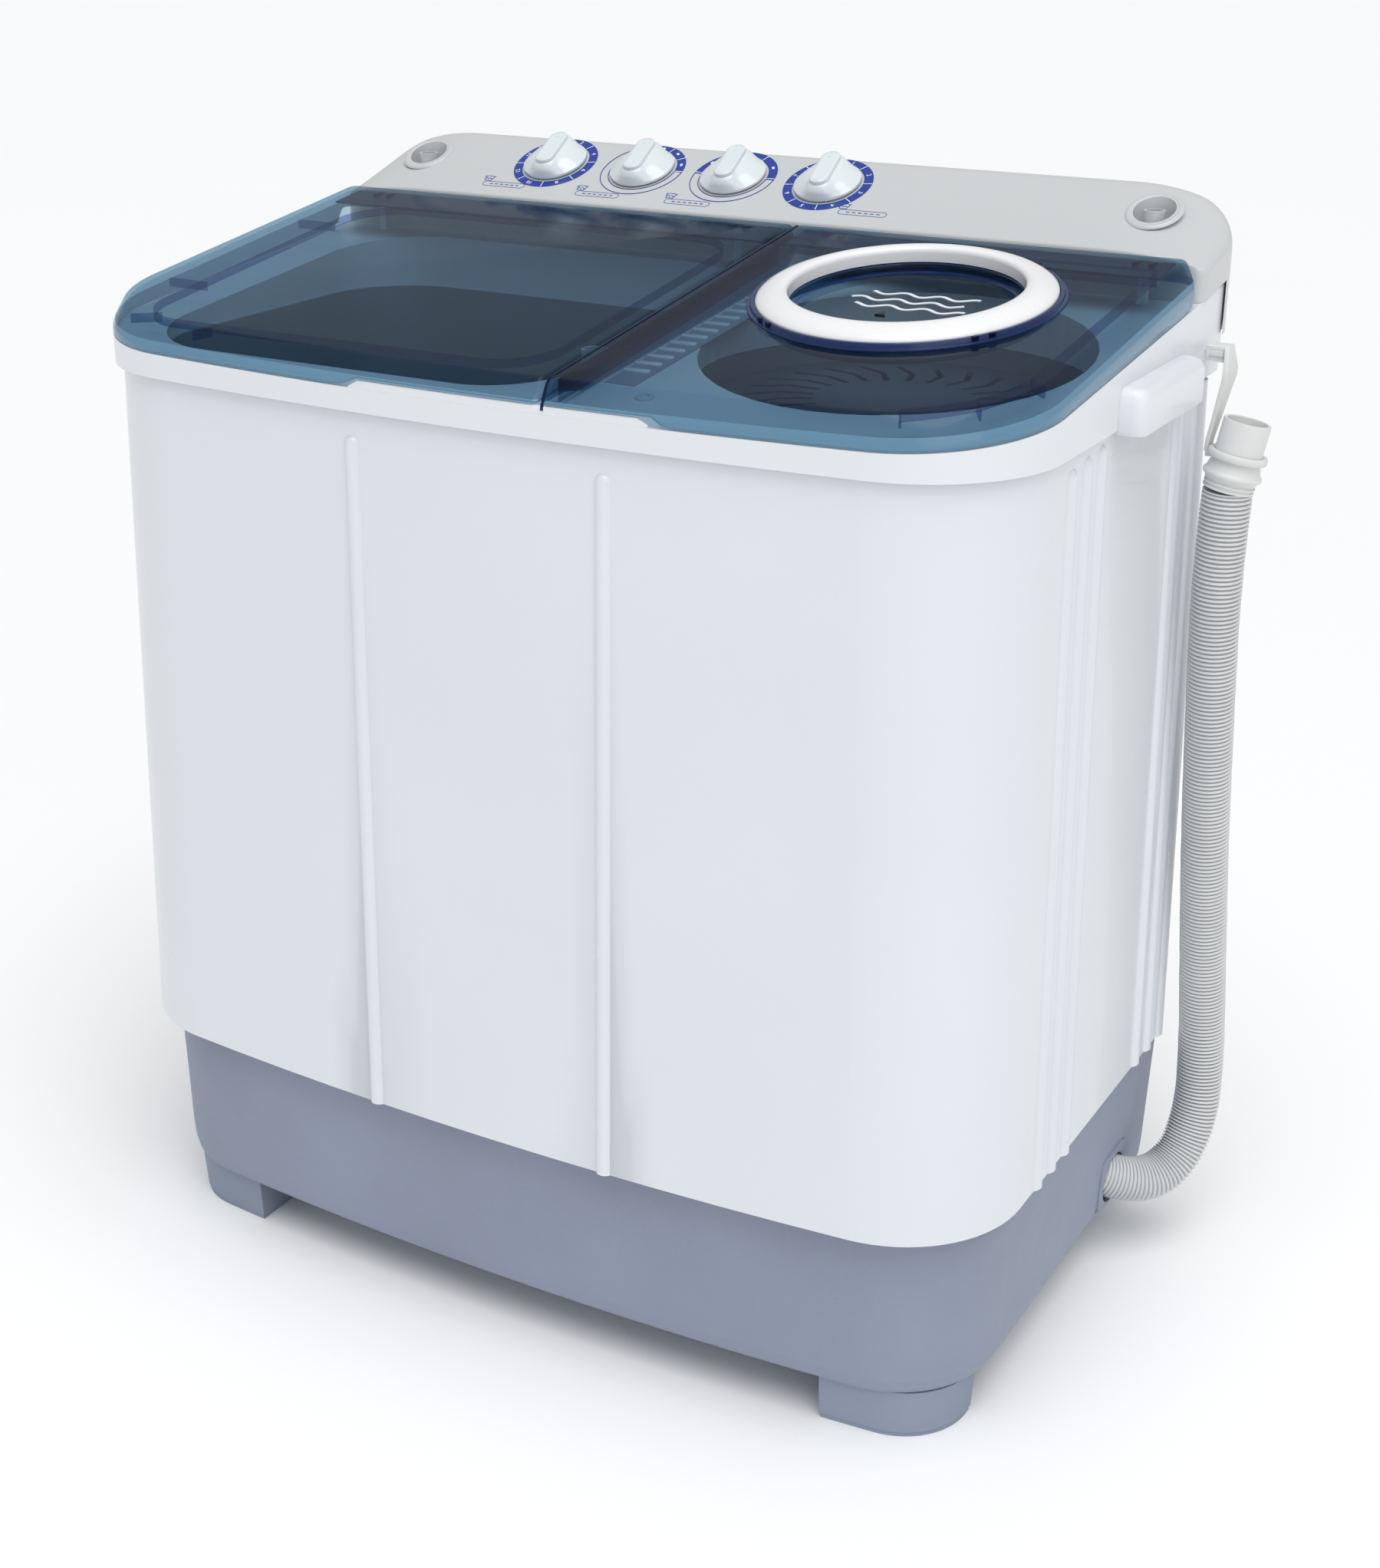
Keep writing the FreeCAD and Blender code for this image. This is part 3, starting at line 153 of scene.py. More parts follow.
M = {
    "body": mat("body_white", lin(221, 225, 230), rough=0.30, var=0.012, coat=0.35, grain=0.05, grain_scale=500, wave=0.03),
    "frame": mat("frame_white", lin(225, 228, 232), rough=0.32, var=0.012, coat=0.3, grain=0.05, grain_scale=600),
    "base": mat("base_grey", lin(138, 147, 166), rough=0.52, var=0.05, var_scale=9, grain=0.35, grain_scale=1500),
    "foot": mat("foot_grey", lin(138, 148, 166), rough=0.6, var=0.06, grain=0.4, grain_scale=1300),
    "pad": mat("foot_rubber", lin(46, 47, 50), rough=0.8, var=0.15, grain=0.5, grain_scale=900),
    "console": mat("console_grey", lin(200, 202, 203), rough=0.34, var=0.012, coat=0.25, grain=0.08, grain_scale=1600),
    "lid": tinted(mat("lid_blue", lin(12, 24, 52), rough=0.07, var=0.10, var_scale=3, rough_var=0.03, ior=1.46, wave=0.02), 0.34, (0.66, 0.86, 0.98)),
    "lid_in": tinted(mat("lid_blue_inside", lin(16, 30, 60), rough=0.20, var=0.10, var_scale=3, rough_var=0.05, ior=1.30, spec=0.2), 0.12, (0.92, 0.97, 1.0)),
    "lid_edge": tinted(mat("lid_edge_blue", lin(96, 136, 162), rough=0.14, var=0.05, var_scale=12, coat=0.3, rough_var=0.04, ior=1.45), 0.72, (0.62, 0.82, 0.95)),
    "lid_dark": tinted(mat("lid_line_blue", lin(12, 18, 48), rough=0.16, var=0.08, spec=0.35), 0.62, (0.40, 0.52, 0.80)),
    "lid_rib": tinted(mat("lid_rib_blue", lin(12, 20, 54), rough=0.16, var=0.08, spec=0.3), 0.16, (0.70, 0.80, 0.95)),
    "lid_band": mat("lid_band_blue", lin(24, 36, 66), rough=0.22, var=0.10, var_scale=6, spec=0.4),
    "flange": tinted(mat("flange_blue", lin(34, 54, 104), rough=0.10, var=0.08, var_scale=9, coat=0.3, rough_var=0.03, ior=1.45), 0.62, (0.50, 0.66, 0.95)),
    "deck_dark": mat("deck_shade", lin(150, 158, 170), rough=0.5, var=0.05, grain=0.15, grain_scale=900),
    "ring": mat("ring_white", lin(240, 240, 241), rough=0.26, var=0.01, coat=0.4, grain=0.04),
    "dial_blue": mat("dial_blue", lin(24, 56, 150), rough=0.30, var=0.05, var_scale=40, grain=0.05),
    "print_blue": mat("print_blue", lin(58, 92, 158), rough=0.4, var=0.05, var_scale=60),
    "print_white": mat("print_white", lin(236, 240, 246), rough=0.4, var=0.02, var_scale=60),
    "knob": mat("knob_white", lin(222, 231, 233), rough=0.22, var=0.015, var_scale=30, coat=0.5, grain=0.04),
    "tub": mat("tub_plastic", lin(128, 140, 142), rough=0.42, var=0.04, grain=0.15, grain_scale=900),
    "pulsator": mat("pulsator_plastic", lin(196, 206, 220), rough=0.3, var=0.03, coat=0.2),
    "cover": mat("cover_plastic", lin(74, 84, 98), rough=0.38, var=0.05, grain=0.12, grain_scale=900),
    # darker grey for the valley faces between the hose ribs: painted shade in the grooves
    "hose_groove_shade": mat("hose_groove_shade", lin(168, 170, 172), rough=0.5, var=0.03, var_scale=18, grain=0.12, grain_scale=900),
    "hose": mat("hose_plastic", lin(216, 217, 217), rough=0.46, var=0.03, var_scale=18, grain=0.12, grain_scale=900),
    "hose_cuff": mat("hose_cuff_plastic", lin(218, 219, 218), rough=0.42, var=0.035, var_scale=26, grain=0.10, grain_scale=800),
    "black": mat("black_plastic", lin(34, 35, 38), rough=0.45, var=0.15, grain=0.15),
    # near-black for recesses: painted shade; no part uses it
    "dark": mat("recess_painted_shade", lin(26, 30, 38), rough=0.6, var=0.15, grain=0.1),
    "inner": mat("inner_plastic", lin(206, 208, 212), rough=0.42, var=0.03, grain=0.1),
    "steel": mat("steel", (0.58, 0.58, 0.59), rough=0.26, var=0.06, var_scale=60, metallic=1.0, grain=0.1, stretch=(1, 1, 14)),
    "screw": mat("screw_steel", (0.50, 0.50, 0.52), rough=0.34, var=0.10, var_scale=90, metallic=1.0, grain=0.1),
    "sheet": mat("sheet_steel", (0.52, 0.53, 0.55), rough=0.42, var=0.08, var_scale=26, metallic=0.9, grain=0.1),
    "motor": mat("motor_paint", lin(66, 68, 72), rough=0.5, var=0.12, var_scale=30, grain=0.25, grain_scale=700),
    "cast": mat("cast_metal", (0.50, 0.51, 0.52), rough=0.5, var=0.10, var_scale=40, metallic=1.0, grain=0.4, grain_scale=600),
    "rubber": mat("rubber_black", lin(38, 38, 40), rough=0.75, var=0.15, grain=0.3),
}

NODE_MAT = {
    "base_tray": "base", "feet": "foot", "foot_pads": "foot", "cabinet_shell": "body", "rear_cover": "body",
    "rear_cover_screws": "screw", "supply_cord_inlet": "black", "top_frame": "frame", "carry_handles": "frame", "hose_peg": "frame", "lid_hinge_brackets": "frame",
    "wash_lid": "lid", "wash_lid_hinge_pins": "steel", "spin_lid": "lid", "spin_lid_hinge_pins": "steel",
    "air_vent_ring": "ring", "air_vent_dish": "lid", "air_vent_flange": "lid", "spin_safety_cover": "cover",
    "console_housing": "console", "dial_rings": "dial_blue", "water_inlets": "console",
    "wash_timer_knob": "knob", "wash_selector_knob": "knob", "drain_selector_knob": "knob", "spin_timer_knob": "knob",
    "timers": "black", "selector_switches": "inner", "wash_tub": "tub", "pulsator": "pulsator", "pulsator_shaft": "steel",
    "wash_pulley": "cast", "gearbox_housing": "cast", "pulsator_seal": "rubber", "motor_mounting_plate": "sheet",
    "wash_motor": "motor", "motor_pulley": "cast", "drive_belt": "rubber", "spin_tub": "tub", "spin_bellows_seal": "rubber",
    "spin_basket": "pulsator", "spin_shaft": "steel", "brake_drum": "cast", "spin_motor": "motor",
    "spin_motor_springs": "rubber", "brake_shoe": "rubber", "brake_lever": "sheet", "brake_pivot_post": "inner",
    "drain_valve_body": "inner", "drain_valve_plunger": "rubber", "drain_pipe": "inner", "spin_drain_pipe": "inner",
    "drain_outlet": "inner", "lint_filter": "inner", "water_duct": "inner", "motor_capacitor": "sheet",
    "frame_screws": "screw", "drain_hose": "hose", "hose_cuff": "hose_cuff", "hose_hanger": "hose_cuff",
}
for name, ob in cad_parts.items():
    mt = M[NODE_MAT[name]]
    if not ob.material_slots:
        ob.data.materials.append(mt)
    for s in ob.material_slots:
        s.material = mt


# ================================================================== mesh helpers
class Mesh:
    def __init__(self):
        self.v, self.f, self.m = [], [], []

    def loop(self, pts):
        a = len(self.v)
        self.v.extend(Vector(p) for p in pts)
        return list(range(a, a + len(pts)))

    def bridge(self, a, b, mt=0, closed=True):
        n = len(a)
        for i in range(n if closed else n - 1):
            j = (i + 1) % n
            self.f.append((a[i], a[j], b[j], b[i]))
            self.m.append(mt)

    def cap(self, a, mt=0):
        self.f.append(tuple(a))
        self.m.append(mt)

    def box(self, c, ax, ay, az, mt=0):
        """A block: centre and three half-axis vectors."""
        c, ax, ay, az = Vector(c), Vector(ax), Vector(ay), Vector(az)
        i = len(self.v)
        for sz in (-1, 1):
            for sx, sy in ((-1, -1), (1, -1), (1, 1), (-1, 1)):
                self.v.append(c + ax * sx + ay * sy + az * sz)
        for q in ((0, 3, 2, 1), (4, 5, 6, 7), (0, 1, 5, 4), (1, 2, 6, 5), (2, 3, 7, 6), (3, 0, 4, 7)):
            self.f.append(tuple(i + k for k in q))
            self.m.append(mt)

    def obj(self, name, mats, angle=34.0, smooth=True, bevel=0.0, bevel_seg=2, bevel_angle=30.0, design=True):
        me = bpy.data.meshes.new(name)
        vs = [cad(*p) for p in self.v] if design else self.v
        me.from_pydata([tuple(p) for p in vs], [], self.f)
        for mt in mats:
            me.materials.append(M[mt] if isinstance(mt, str) else mt)
        for p, k in zip(me.polygons, self.m):
            p.material_index = k
        bm = bmesh.new()
        bm.from_mesh(me)
        bmesh.ops.recalc_face_normals(bm, faces=bm.faces)
        if bevel > 0:
            bm.edges.ensure_lookup_table()
            es = [e for e in bm.edges if len(e.link_faces) == 2 and e.calc_face_angle(0) > math.radians(bevel_angle)]
            bmesh.ops.bevel(bm, geom=es, offset=bevel / 1000.0, segments=bevel_seg, profile=0.5, affect="EDGES", clamp_overlap=True)
        bm.to_mesh(me)
        bm.free()
        if smooth:
            me.shade_smooth()
            me.set_sharp_from_angle(angle=math.radians(angle))
        me.update()
        ob = bpy.data.objects.new(name, me)
        bpy.context.scene.collection.objects.link(ob)
        return ob


def lathe(mesh, prof, origin, axis, xdir, seg=96, mt=0, mts=None, closed=True):
    """Turns the closed (r, h) profile about an axis."""
    axis = Vector(axis).normalized()
    xdir = (Vector(xdir) - axis * axis.dot(Vector(xdir))).normalized()
    yd = axis.cross(xdir)
    o = Vector(origin)
    rings = []
    for r, h in prof:
        if r < 1e-6:
            rings.append([len(mesh.v)])
            mesh.v.append(o + axis * h)
        else:
            rings.append(mesh.loop([o + axis * h + (xdir * math.cos(2 * PI * k / seg) + yd * math.sin(2 * PI * k / seg)) * r for k in range(seg)]))
    n = len(rings)
    for i in range(n if closed else n - 1):
        a, b = rings[i], rings[(i + 1) % n]
        k = mts[i] if mts else mt
        if len(a) == 1 and len(b) == 1:
            continue
        if len(a) == 1:
            for j in range(seg):
                mesh.f.append((a[0], b[j], b[(j + 1) % seg]))
                mesh.m.append(k)
        elif len(b) == 1:
            for j in range(seg):
                mesh.f.append((a[j], b[0], a[(j + 1) % seg]))
                mesh.m.append(k)
        else:
            mesh.bridge(a, b, k)
    return rings


def put(ob, body, slot, *nodes):
    if nodes:
        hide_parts(*nodes)
    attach(ob, body)
    return ob


def arc(cx, cy, r, a0, a1, n):
    return [(cx + r * math.cos(a0 + (a1 - a0) * i / n), cy + r * math.sin(a0 + (a1 - a0) * i / n)) for i in range(n + 1)]


# ================================================================== drain hose, its cuff and hanger
ROUTE = [(352, 112, 76), (379, 130, 62), (402, 160, 72), (410, 180, 110),
         (408, 186, 166), (404, 178, 248), (401, 160, 362), (399.5, 143, 488),
         (398.5, 134, 578), (400.5, 134, 642)]
CUFF_TIP = Vector((409.0, 139.0, 692.0))
HOSE_R = 18.0

cu = bpy.data.curves.new("hose_route", "CURVE")
cu.dimensions = "3D"
sp = cu.splines.new("NURBS")
sp.points.add(len(ROUTE) - 1)
for p, q in zip(sp.points, ROUTE):
    p.co = (*cad(*q), 1.0)
sp.order_u = 3
sp.use_endpoint_u = True
sp.resolution_u = 40
cuo = bpy.data.objects.new("hose_route", cu)
bpy.context.scene.collection.objects.link(cuo)
bpy.context.view_layer.update()
me = bpy.data.meshes.new_from_object(cuo)
path = [v.co.copy() for v in me.vertices]
bpy.data.meshes.remove(me)
bpy.data.objects.remove(cuo)
cum = [0.0]
for a, b in zip(path, path[1:]):
    cum.append(cum[-1] + (b - a).length)
HOSE_LEN = cum[-1]


def along(s):
    s = min(max(s, 0.0), HOSE_LEN)
    lo, hi = 0, len(cum) - 1
    while hi - lo > 1:
        k = (lo + hi) // 2
        if cum[k] <= s:
            lo = k
        else:
            hi = k
    t = (s - cum[lo]) / max(1e-9, cum[hi] - cum[lo])
    return path[lo].lerp(path[hi], t), (path[hi] - path[lo]).normalized()


PITCH, SUB, SEG = 0.0033, 5, 44
steps = int(HOSE_LEN / PITCH * SUB)
hose = Mesh()
nrm = Vector((0, 0, 1))
prev = None
first = None
shape = [0.0, 0.30, 1.0, 1.0, 0.30]
for k in range(steps + 1):
    c, t = along(HOSE_LEN * k / steps)
    # smooth the tangent a little so that the ribs never shear
    t = (along(HOSE_LEN * k / steps + 0.004)[0] - along(HOSE_LEN * k / steps - 0.004)[0])
    t = t.normalized() if t.length > 1e-6 else Vector((1, 0, 0))
    nrm = (nrm - t * nrm.dot(t)).normalized()
    bn = t.cross(nrm)
    r = 0.0180 - 0.0018 * (1.0 - shape[k % SUB])
    r += 0.00012 * math.sin(k * 0.11) * math.sin(k * 0.037)
    if k < 3 or k > steps - 3:
        r = 0.0176
    lp = hose.loop([c + (nrm * math.cos(2 * PI * j / SEG) + bn * math.sin(2 * PI * j / SEG)) * r for j in range(SEG)])
    if prev:
        # the valley faces between the ribs take the darker groove grey: painted shade in the grooves
        hose.bridge(prev, lp, 1 if k % SUB in (0, 1) else 0)
    else:
        first = lp
    prev = lp
hose.cap(first)
hose.cap(prev)
hose_ob = hose.obj("corrugated_hose", ["hose", "hose_groove_shade"], angle=80, design=False)

e1 = Vector(ROUTE[-1])
dd = (CUFF_TIP - e1)
CL = dd.length
dd.normalize()
cf = Mesh()
prof = [(17.0, 0.0), (18.2, 0.5), (18.3, 1.7), (17.2, 2.2), (17.2, 3.2), (18.3, 3.7), (18.4, 5.0), (17.3, 5.5), (17.3, 6.5), (18.4, 7.0), (18.9, 8.6), (19.9, 9.4), (20.9, 10.3), (21.2, 11.6), (20.9, 12.9), (19.8, 13.8),
        (19.3, 14.8), (18.4, 18.0), (17.3, 21.0), (17.0, 24.0), (17.0, CL - 0.8), (16.6, CL - 0.1), (15.6, CL), (14.7, CL - 0.4), (14.5, CL - 1.4), (14.5, 8.2), (0.0, 8.0), (0.0, 0.0)]
lathe(cf, prof, e1, dd, (0, 1, 0), 72, closed=False)
cuff_ob = cf.obj("hose_end_cuff", ["hose_cuff"], angle=50)

hg = Mesh()


def strap(x0, x1, y0, y1, z, tilt=0.0):
    return hg.loop([(x0, y0, z), (x1, y0, z + tilt), (x1, y1, z + tilt), (x0, y1, z)])


sec = [(374.2, 377.0, 138.4, 151.6, 733.2), (374.2, 377.0, 138.4, 151.6, 739.2)]
prev = None
levels = [(387.5, 390.9, 138.2, 151.8, 742.6), (388.6, 392.0, 135.2, 154.0, 735.0), (389.8, 393.4, 131.0, 157.2, 726.0), (389.6, 393.0, 130.4, 157.4, 720.0),
          (387.4, 390.6, 130.8, 154.0, 708.0), (384.6, 387.8, 131.6, 149.0, 692.0), (381.4, 384.6, 132.2, 145.4, 676.0), (380.8, 383.8, 132.4, 144.0, 668.4)]
loops = [strap(*q) for q in levels]
for a, b in zip(loops, loops[1:]):
    hg.bridge(a, b)
hg.cap(loops[0])
hg.cap(loops[-1])
hg.box((382.6, 145.0, 741.1), (8.3, 0, 0), (0, 6.8, 0), (0, 0, 1.7))
hg.box((375.6, 145.0, 737.0), (1.4, 0, 0), (0, 6.8, 0), (0, 0, 3.6))
for yy in (139.0, 151.0):
    hg.box((381.5, yy, 737.4), (6.0, 0, 0), (0, 0.7, 0), (0, 0, 2.4))
hang_ob = hg.obj("hose_hook_strap", ["hose_cuff"], bevel=0.8, bevel_seg=3)
cl = Mesh()
ring_c = e1 + dd * 22.5
lathe(cl, [(17.35, 0.3), (20.6, 0.2), (21.3, 1.0), (21.3, 4.4), (20.6, 5.3), (17.35, 5.2)], ring_c, dd, (0, 1, 0), 64)
cl.box(ring_c + Vector((-20.4, 1.6, 3.6)), (1.9, 0, 0), (0, 5.2, 0), (0, 0, 3.0))
clip_ob = cl.obj("hose_hook_ring", ["hose_cuff"], angle=50)

put(hose_ob, "cabinet", "hose_plastic", "drain_hose")
put(cuff_ob, "cabinet", "hose_plastic", "hose_cuff")
put(hang_ob, "cabinet", "hose_plastic", "hose_hanger")
put(clip_ob, "cabinet", "hose_plastic", "hose_hanger")

# ================================================================== lids
BOW = 3090.0
TS = math.tan(math.radians(8.0))
NL = Vector((0, -math.sin(math.radians(8.0)), math.cos(math.radians(8.0))))
PS = math.radians(25.2)
NP = Vector((0, -math.sin(PS), math.cos(PS)))
UP = Vector((0, math.cos(PS), math.sin(PS)))


def lid_z(y):
    return 804.0 + (y - 128.0) * TS


def deck_z(y):
    return 745.0 + (y + 120.0) * 0.111


def panel_z(y):
    return 805.0 + (y - 130.4) * math.tan(PS)


def smooth(t):
    t = min(1.0, max(0.0, t))
    return t * t * (3 - 2 * t)


def lid_plan(xs, do, ds, dr, rs=5.0, rr=16.0):
    """Plan outline of a lid on the +X side with its seam edge at xs, inset do at the outside, ds at the seam, dr at the rear."""
    hw, rc, yf = 370.0 - do, 100.0 - do, -239.9 + do
    yc0 = yf + BOW
    yc = yc0 - math.sqrt((BOW - rc) ** 2 - (hw - rc) ** 2)
    cx = hw - rc
    tx = BOW * cx / (BOW - rc)
    x0 = xs + ds
    rs_ = max(1.0, rs - ds)
    rr_ = max(2.0, rr - do)
    yr = 128.4 - dr
    fy = lambda x: yc0 - math.sqrt(BOW ** 2 - x ** 2)
    p = arc(x0 + rs_, fy(x0 + rs_) + rs_, rs_, PI, 1.5 * PI, 4)
    xa = x0 + rs_
    p += [(xa + (tx - xa) * i / 26, fy(xa + (tx - xa) * i / 26)) for i in range(1, 27)]
    ty = fy(tx)
    a0 = math.atan2(ty - yc, tx - cx)
    p += arc(cx, yc, rc, a0, 0.0, 20)[1:]
    p += [(hw, yc + (yr - rr_ - yc) * i / 14) for i in range(1, 15)]
    p += arc(hw - rr_, yr - rr_, rr_, 0.0, PI / 2, 8)[1:]
    p += [(hw - rr_ + (x0 + rs_ - hw + rr_) * i / 14, yr) for i in range(1, 15)]
    p += arc(x0 + rs_, yr - rs_, rs_, PI / 2, PI, 4)[1:]
    y1, y0 = yr - rs_, fy(x0 + rs_) + rs_
    p += [(x0, y1 + (y0 - y1) * i / 16) for i in range(1, 16)]
    return p


def lid_bottom(x, y, notch):
    z = deck_z(y) + 0.4 + 13.5 * smooth((y - 110.0) / 9.0)
    for a, b, h in notch:
        if y < -205:
            z += h * smooth((x - a) / 9.0 + 0.5) * smooth((b - x) / 9.0 + 0.5)
    return z


LID_PROF = [  # outside inset, seam inset, rear inset, height ("b": along the lower edge, with a fifth entry for the height above it); the material follows the row's place in the list
    (12.0, 2.4, 5.2, 0.0), (10.4, 1.5, 4.2, -0.15), (9.3, 0.8, 3.2, -0.7), (8.2, 0.3, 2.2, -1.9), (5.0, 0.0, 0.9, -7.3), (2.0, 0.0, 0.4, -12.4),
    (0.8, 0.0, 0.4, -14.8), (0.2, 0.0, 0.4, -16.6), (0.0, 0.0, 0.4, -18.4), (0.0, 0.0, 0.4, "b", 0.9), (0.35, 0.35, 0.75, "b", 0.25), (0.95, 0.95, 1.3, "b", 0.0),
    (1.9, 1.9, 2.2, "b", 0.0), (2.5, 2.3, 2.7, "b", 0.5), (2.6, 2.4, 2.8, -19.0), (4.2, 2.4, 2.9, -14.6), (8.4, 2.4, 3.6, -7.2),
    (11.0, 2.6, 5.0, -3.4), (12.6, 4.0, 6.6, -2.6)]


def lid_shell(mesh, xs, sx, notch, ring=None):
    loops, plans = [], []
    for q in LID_PROF:
        pl = lid_plan(xs, q[0], q[1], q[2])
        pts = []
        for x, y in pl:
            z = lid_z(y) + q[3] if q[3] != "b" else lid_bottom(x * sx, y, notch) + q[4]
            if q[3] != "b":
                z = max(z, lid_bottom(x * sx, y, notch) + 1.0)
            pts.append((x * sx, y, z))
        loops.append(mesh.loop(pts))
        plans.append(pts)
    for i in range(len(loops) - 1):
        k = 0 if i < 5 else (1 if i < 13 else 2)
        mesh.bridge(loops[i], loops[i + 1], k)
    if ring is None:
        mesh.cap(loops[0], 0)
        mesh.cap(loops[-1], 2)
    else:
        vx, vy = ring

        def circ(pts, r, h):
            o = []
            for x, y, z in pts:
                a = math.atan2(y - vy, x - vx)
                px, py = vx + r * math.cos(a), vy + r * math.sin(a)
                o.append((px, py, lid_z(py) + h))
            return mesh.loop(o)

        def mid(pts, r, h, t):
            o = []
            for x, y, z in pts:
                a = math.atan2(y - vy, x - vx)
                px, py = vx + r * math.cos(a), vy + r * math.sin(a)
                px, py = px + (x - px) * t, py + (y - py) * t
                o.append((px, py, lid_z(py) + h))
            return mesh.loop(o)

        top, bot = plans[0], plans[-1]
        seq = [(loops[0], 0)]
        for t in (0.66, 0.33):
            seq.append((mid(top, 109.5, 0.0, t), 0))
        for r, h in ((109.5, 0.0), (93.6, 0.0), (93.0, -0.6), (93.0, -11.6), (93.6, -12.2), (95.4, -12.2), (96.0, -11.6), (96.0, -2.6)):
            seq.append((circ(top, r, h), 0))
        for t in (0.5,):
            seq.append((mid(bot, 96.0, -2.6, t), 2))
        seq.append((loops[-1], 2))
        for (a, _), (b, k) in zip(seq, seq[1:]):
            mesh.bridge(a, b, k)
    return loops


wl = Mesh()
lid_shell(wl, -54.4, -1, [(-100.0, 120.0, 6.0)])
wash_lid = wl.obj("wash_lid_shell", ["lid", "lid_edge", "lid_in"], angle=30)
sl = Mesh()
lid_shell(sl, 56.8, 1, [(-20.0, 143.0, 6.0)], ring=(210.0, -14.0))
spin_lid = sl.obj("spin_lid_shell", ["lid", "lid_edge", "lid_in"], angle=30)
put(wash_lid, "wash_lid_body", "lid_blue", "wash_lid")
put(spin_lid, "spin_lid_body", "lid_blue", "spin_lid")


def wall_strip(mesh, pts, thick, top, bot, mt=0, closed=True):
    """A thin upright wall along plan points; top and bot are heights below the lid plane."""
    n = len(pts)
    outer, inner = [], []
    for i in range(n):
        a = Vector(pts[(i - 1) % n] if closed or i else pts[i])
        b = Vector(pts[(i + 1) % n] if closed or i < n - 1 else pts[i])
        t = (b - a).normalized()
        nn = Vector((t.y, -t.x))
        p = Vector(pts[i])
        outer.append(p + nn * thick / 2)
        inner.append(p - nn * thick / 2)
    lo = [mesh.loop([(p.x, p.y, lid_z(p.y) + h) for p in q]) for q, h in ((outer, top), (outer, bot), (inner, bot), (inner, top))]
    for i in range(4):
        mesh.bridge(lo[i], lo[(i + 1) % 4], mt, closed)
    if not closed:
        mesh.cap([l[0] for l in lo], mt)
        mesh.cap([l[-1] for l in lo], mt)


def rr_pts(x0, x1, y0, y1, r, n=8):
    p = arc(x0 + r, y0 + r, r, PI, 1.5 * PI, n) + arc(x1 - r, y0 + r, r, 1.5 * PI, 2 * PI, n)
    p += arc(x1 - r, y1 - r, r, 0, PI / 2, n) + arc(x0 + r, y1 - r, r, PI / 2, PI, n)
    q = []
    for a, b in zip(p, p[1:] + p[:1]):
        q.append(a)
        d = math.hypot(b[0] - a[0], b[1] - a[1])
        for k in range(1, int(d // 30) + 1):
            t = k / (int(d // 30) + 1)
            q.append((a[0] + (b[0] - a[0]) * t, a[1] + (b[1] - a[1]) * t))
    return q


rb = Mesh()
wall_strip(rb, rr_pts(-316, 30, -206, 88, 42), 1.8, -2.5, -8.5)
for (xa, ya), (xb, yb) in (((-300, -190), (-321, -200)), ((-316, -120), (-352, -120)), ((-240, -206), (-248, -218)), ((-316, 40), (-352, 40))):
    wall_strip(rb, [(xa, ya), ((xa + xb) / 2, (ya + yb) / 2), (xb, yb)], 1.8, -5.0, -11.5, closed=False)
ribs = rb.obj("wash_lid_ribs", ["lid_rib"], angle=30)
put(ribs, "wash_lid_body", "lid_blue")
rb = Mesh()
for pts in ([(292, -203), (294.2, -207.7), (296.5, -212.3)], [(329, -171), (332.9, -178.2), (336.9, -185.5)], [(346, -127), (352.1, -131.9), (358.3, -136.8)],
            [(292, -203), (311, -189), (329, -171), (340, -150), (346, -127)], [(346, -127), (346.5, -60), (347, 20), (347, 96)],
            ):
    wall_strip(rb, pts, 1.6, -2.5, -10.0, closed=False)
wall_strip(rb, [(61.0, -222), (61.0, -120), (61.0, 0), (61.0, 86)], 1.6, -2.8, -18.0, closed=False)
wall_strip(rb, [(61.0, 104), (150, 104), (260, 104), (346, 104)], 1.2, -2.8, -15.0, closed=False)
ribs2 = rb.obj("spin_lid_ribs", ["lid_rib"], angle=30)
put(ribs2, "spin_lid_body", "lid_blue")

# dark double-walled band along the rear of both lids
for side, x0_, x1_, body in (("wash", -352, 44, "wash_lid_body"), ("spin", 64, 352, "spin_lid_body")):
    bd = Mesh()
    n_ = 24
    rows = []
    for y_, h_ in ((89.5, -3.6), (125.0, -3.6), (125.0, -4.6), (89.5, -4.6)):
        rows.append(bd.loop([(x0_ + (x1_ - x0_) * i / n_, y_, lid_z(y_) + h_) for i in range(n_ + 1)]))
    for i in range(4):
        bd.bridge(rows[i], rows[(i + 1) % 4], closed=False)
    bd.cap([r[0] for r in rows])
    bd.cap([r[-1] for r in rows])
    put(bd.obj(side + "_lid_rear_band", ["lid_band"], angle=40), body, "lid_blue")

# hinge ears under the rear edge of the lids
for side, xs_, body in (("wash", (-322, 12), "wash_lid_body"), ("spin", (92, 332), "spin_lid_body")):
    er = Mesh()
    for hx in xs_:
        for e0 in (hx - 8.0, hx + 4.0):
            o = Vector((e0, 118, 794))
            pr = [(0, -5.4), (5.2, -2.0), (5.6, 0.0), (5.2, 3.0), (3.8, 6.6), (-5.6, 6.4), (-5.4, 0), (-3.8, -3.8)]
            a = er.loop([(e0, 118 + y, 794 + z) for y, z in pr])
            b = er.loop([(e0 + 4.0, 118 + y, 794 + z) for y, z in pr])
            er.bridge(a, b)
            er.cap(a)
            er.cap(b)
    put(er.obj(side + "_lid_hinge_ears", ["lid_dark"], bevel=0.4), body, "lid_blue")

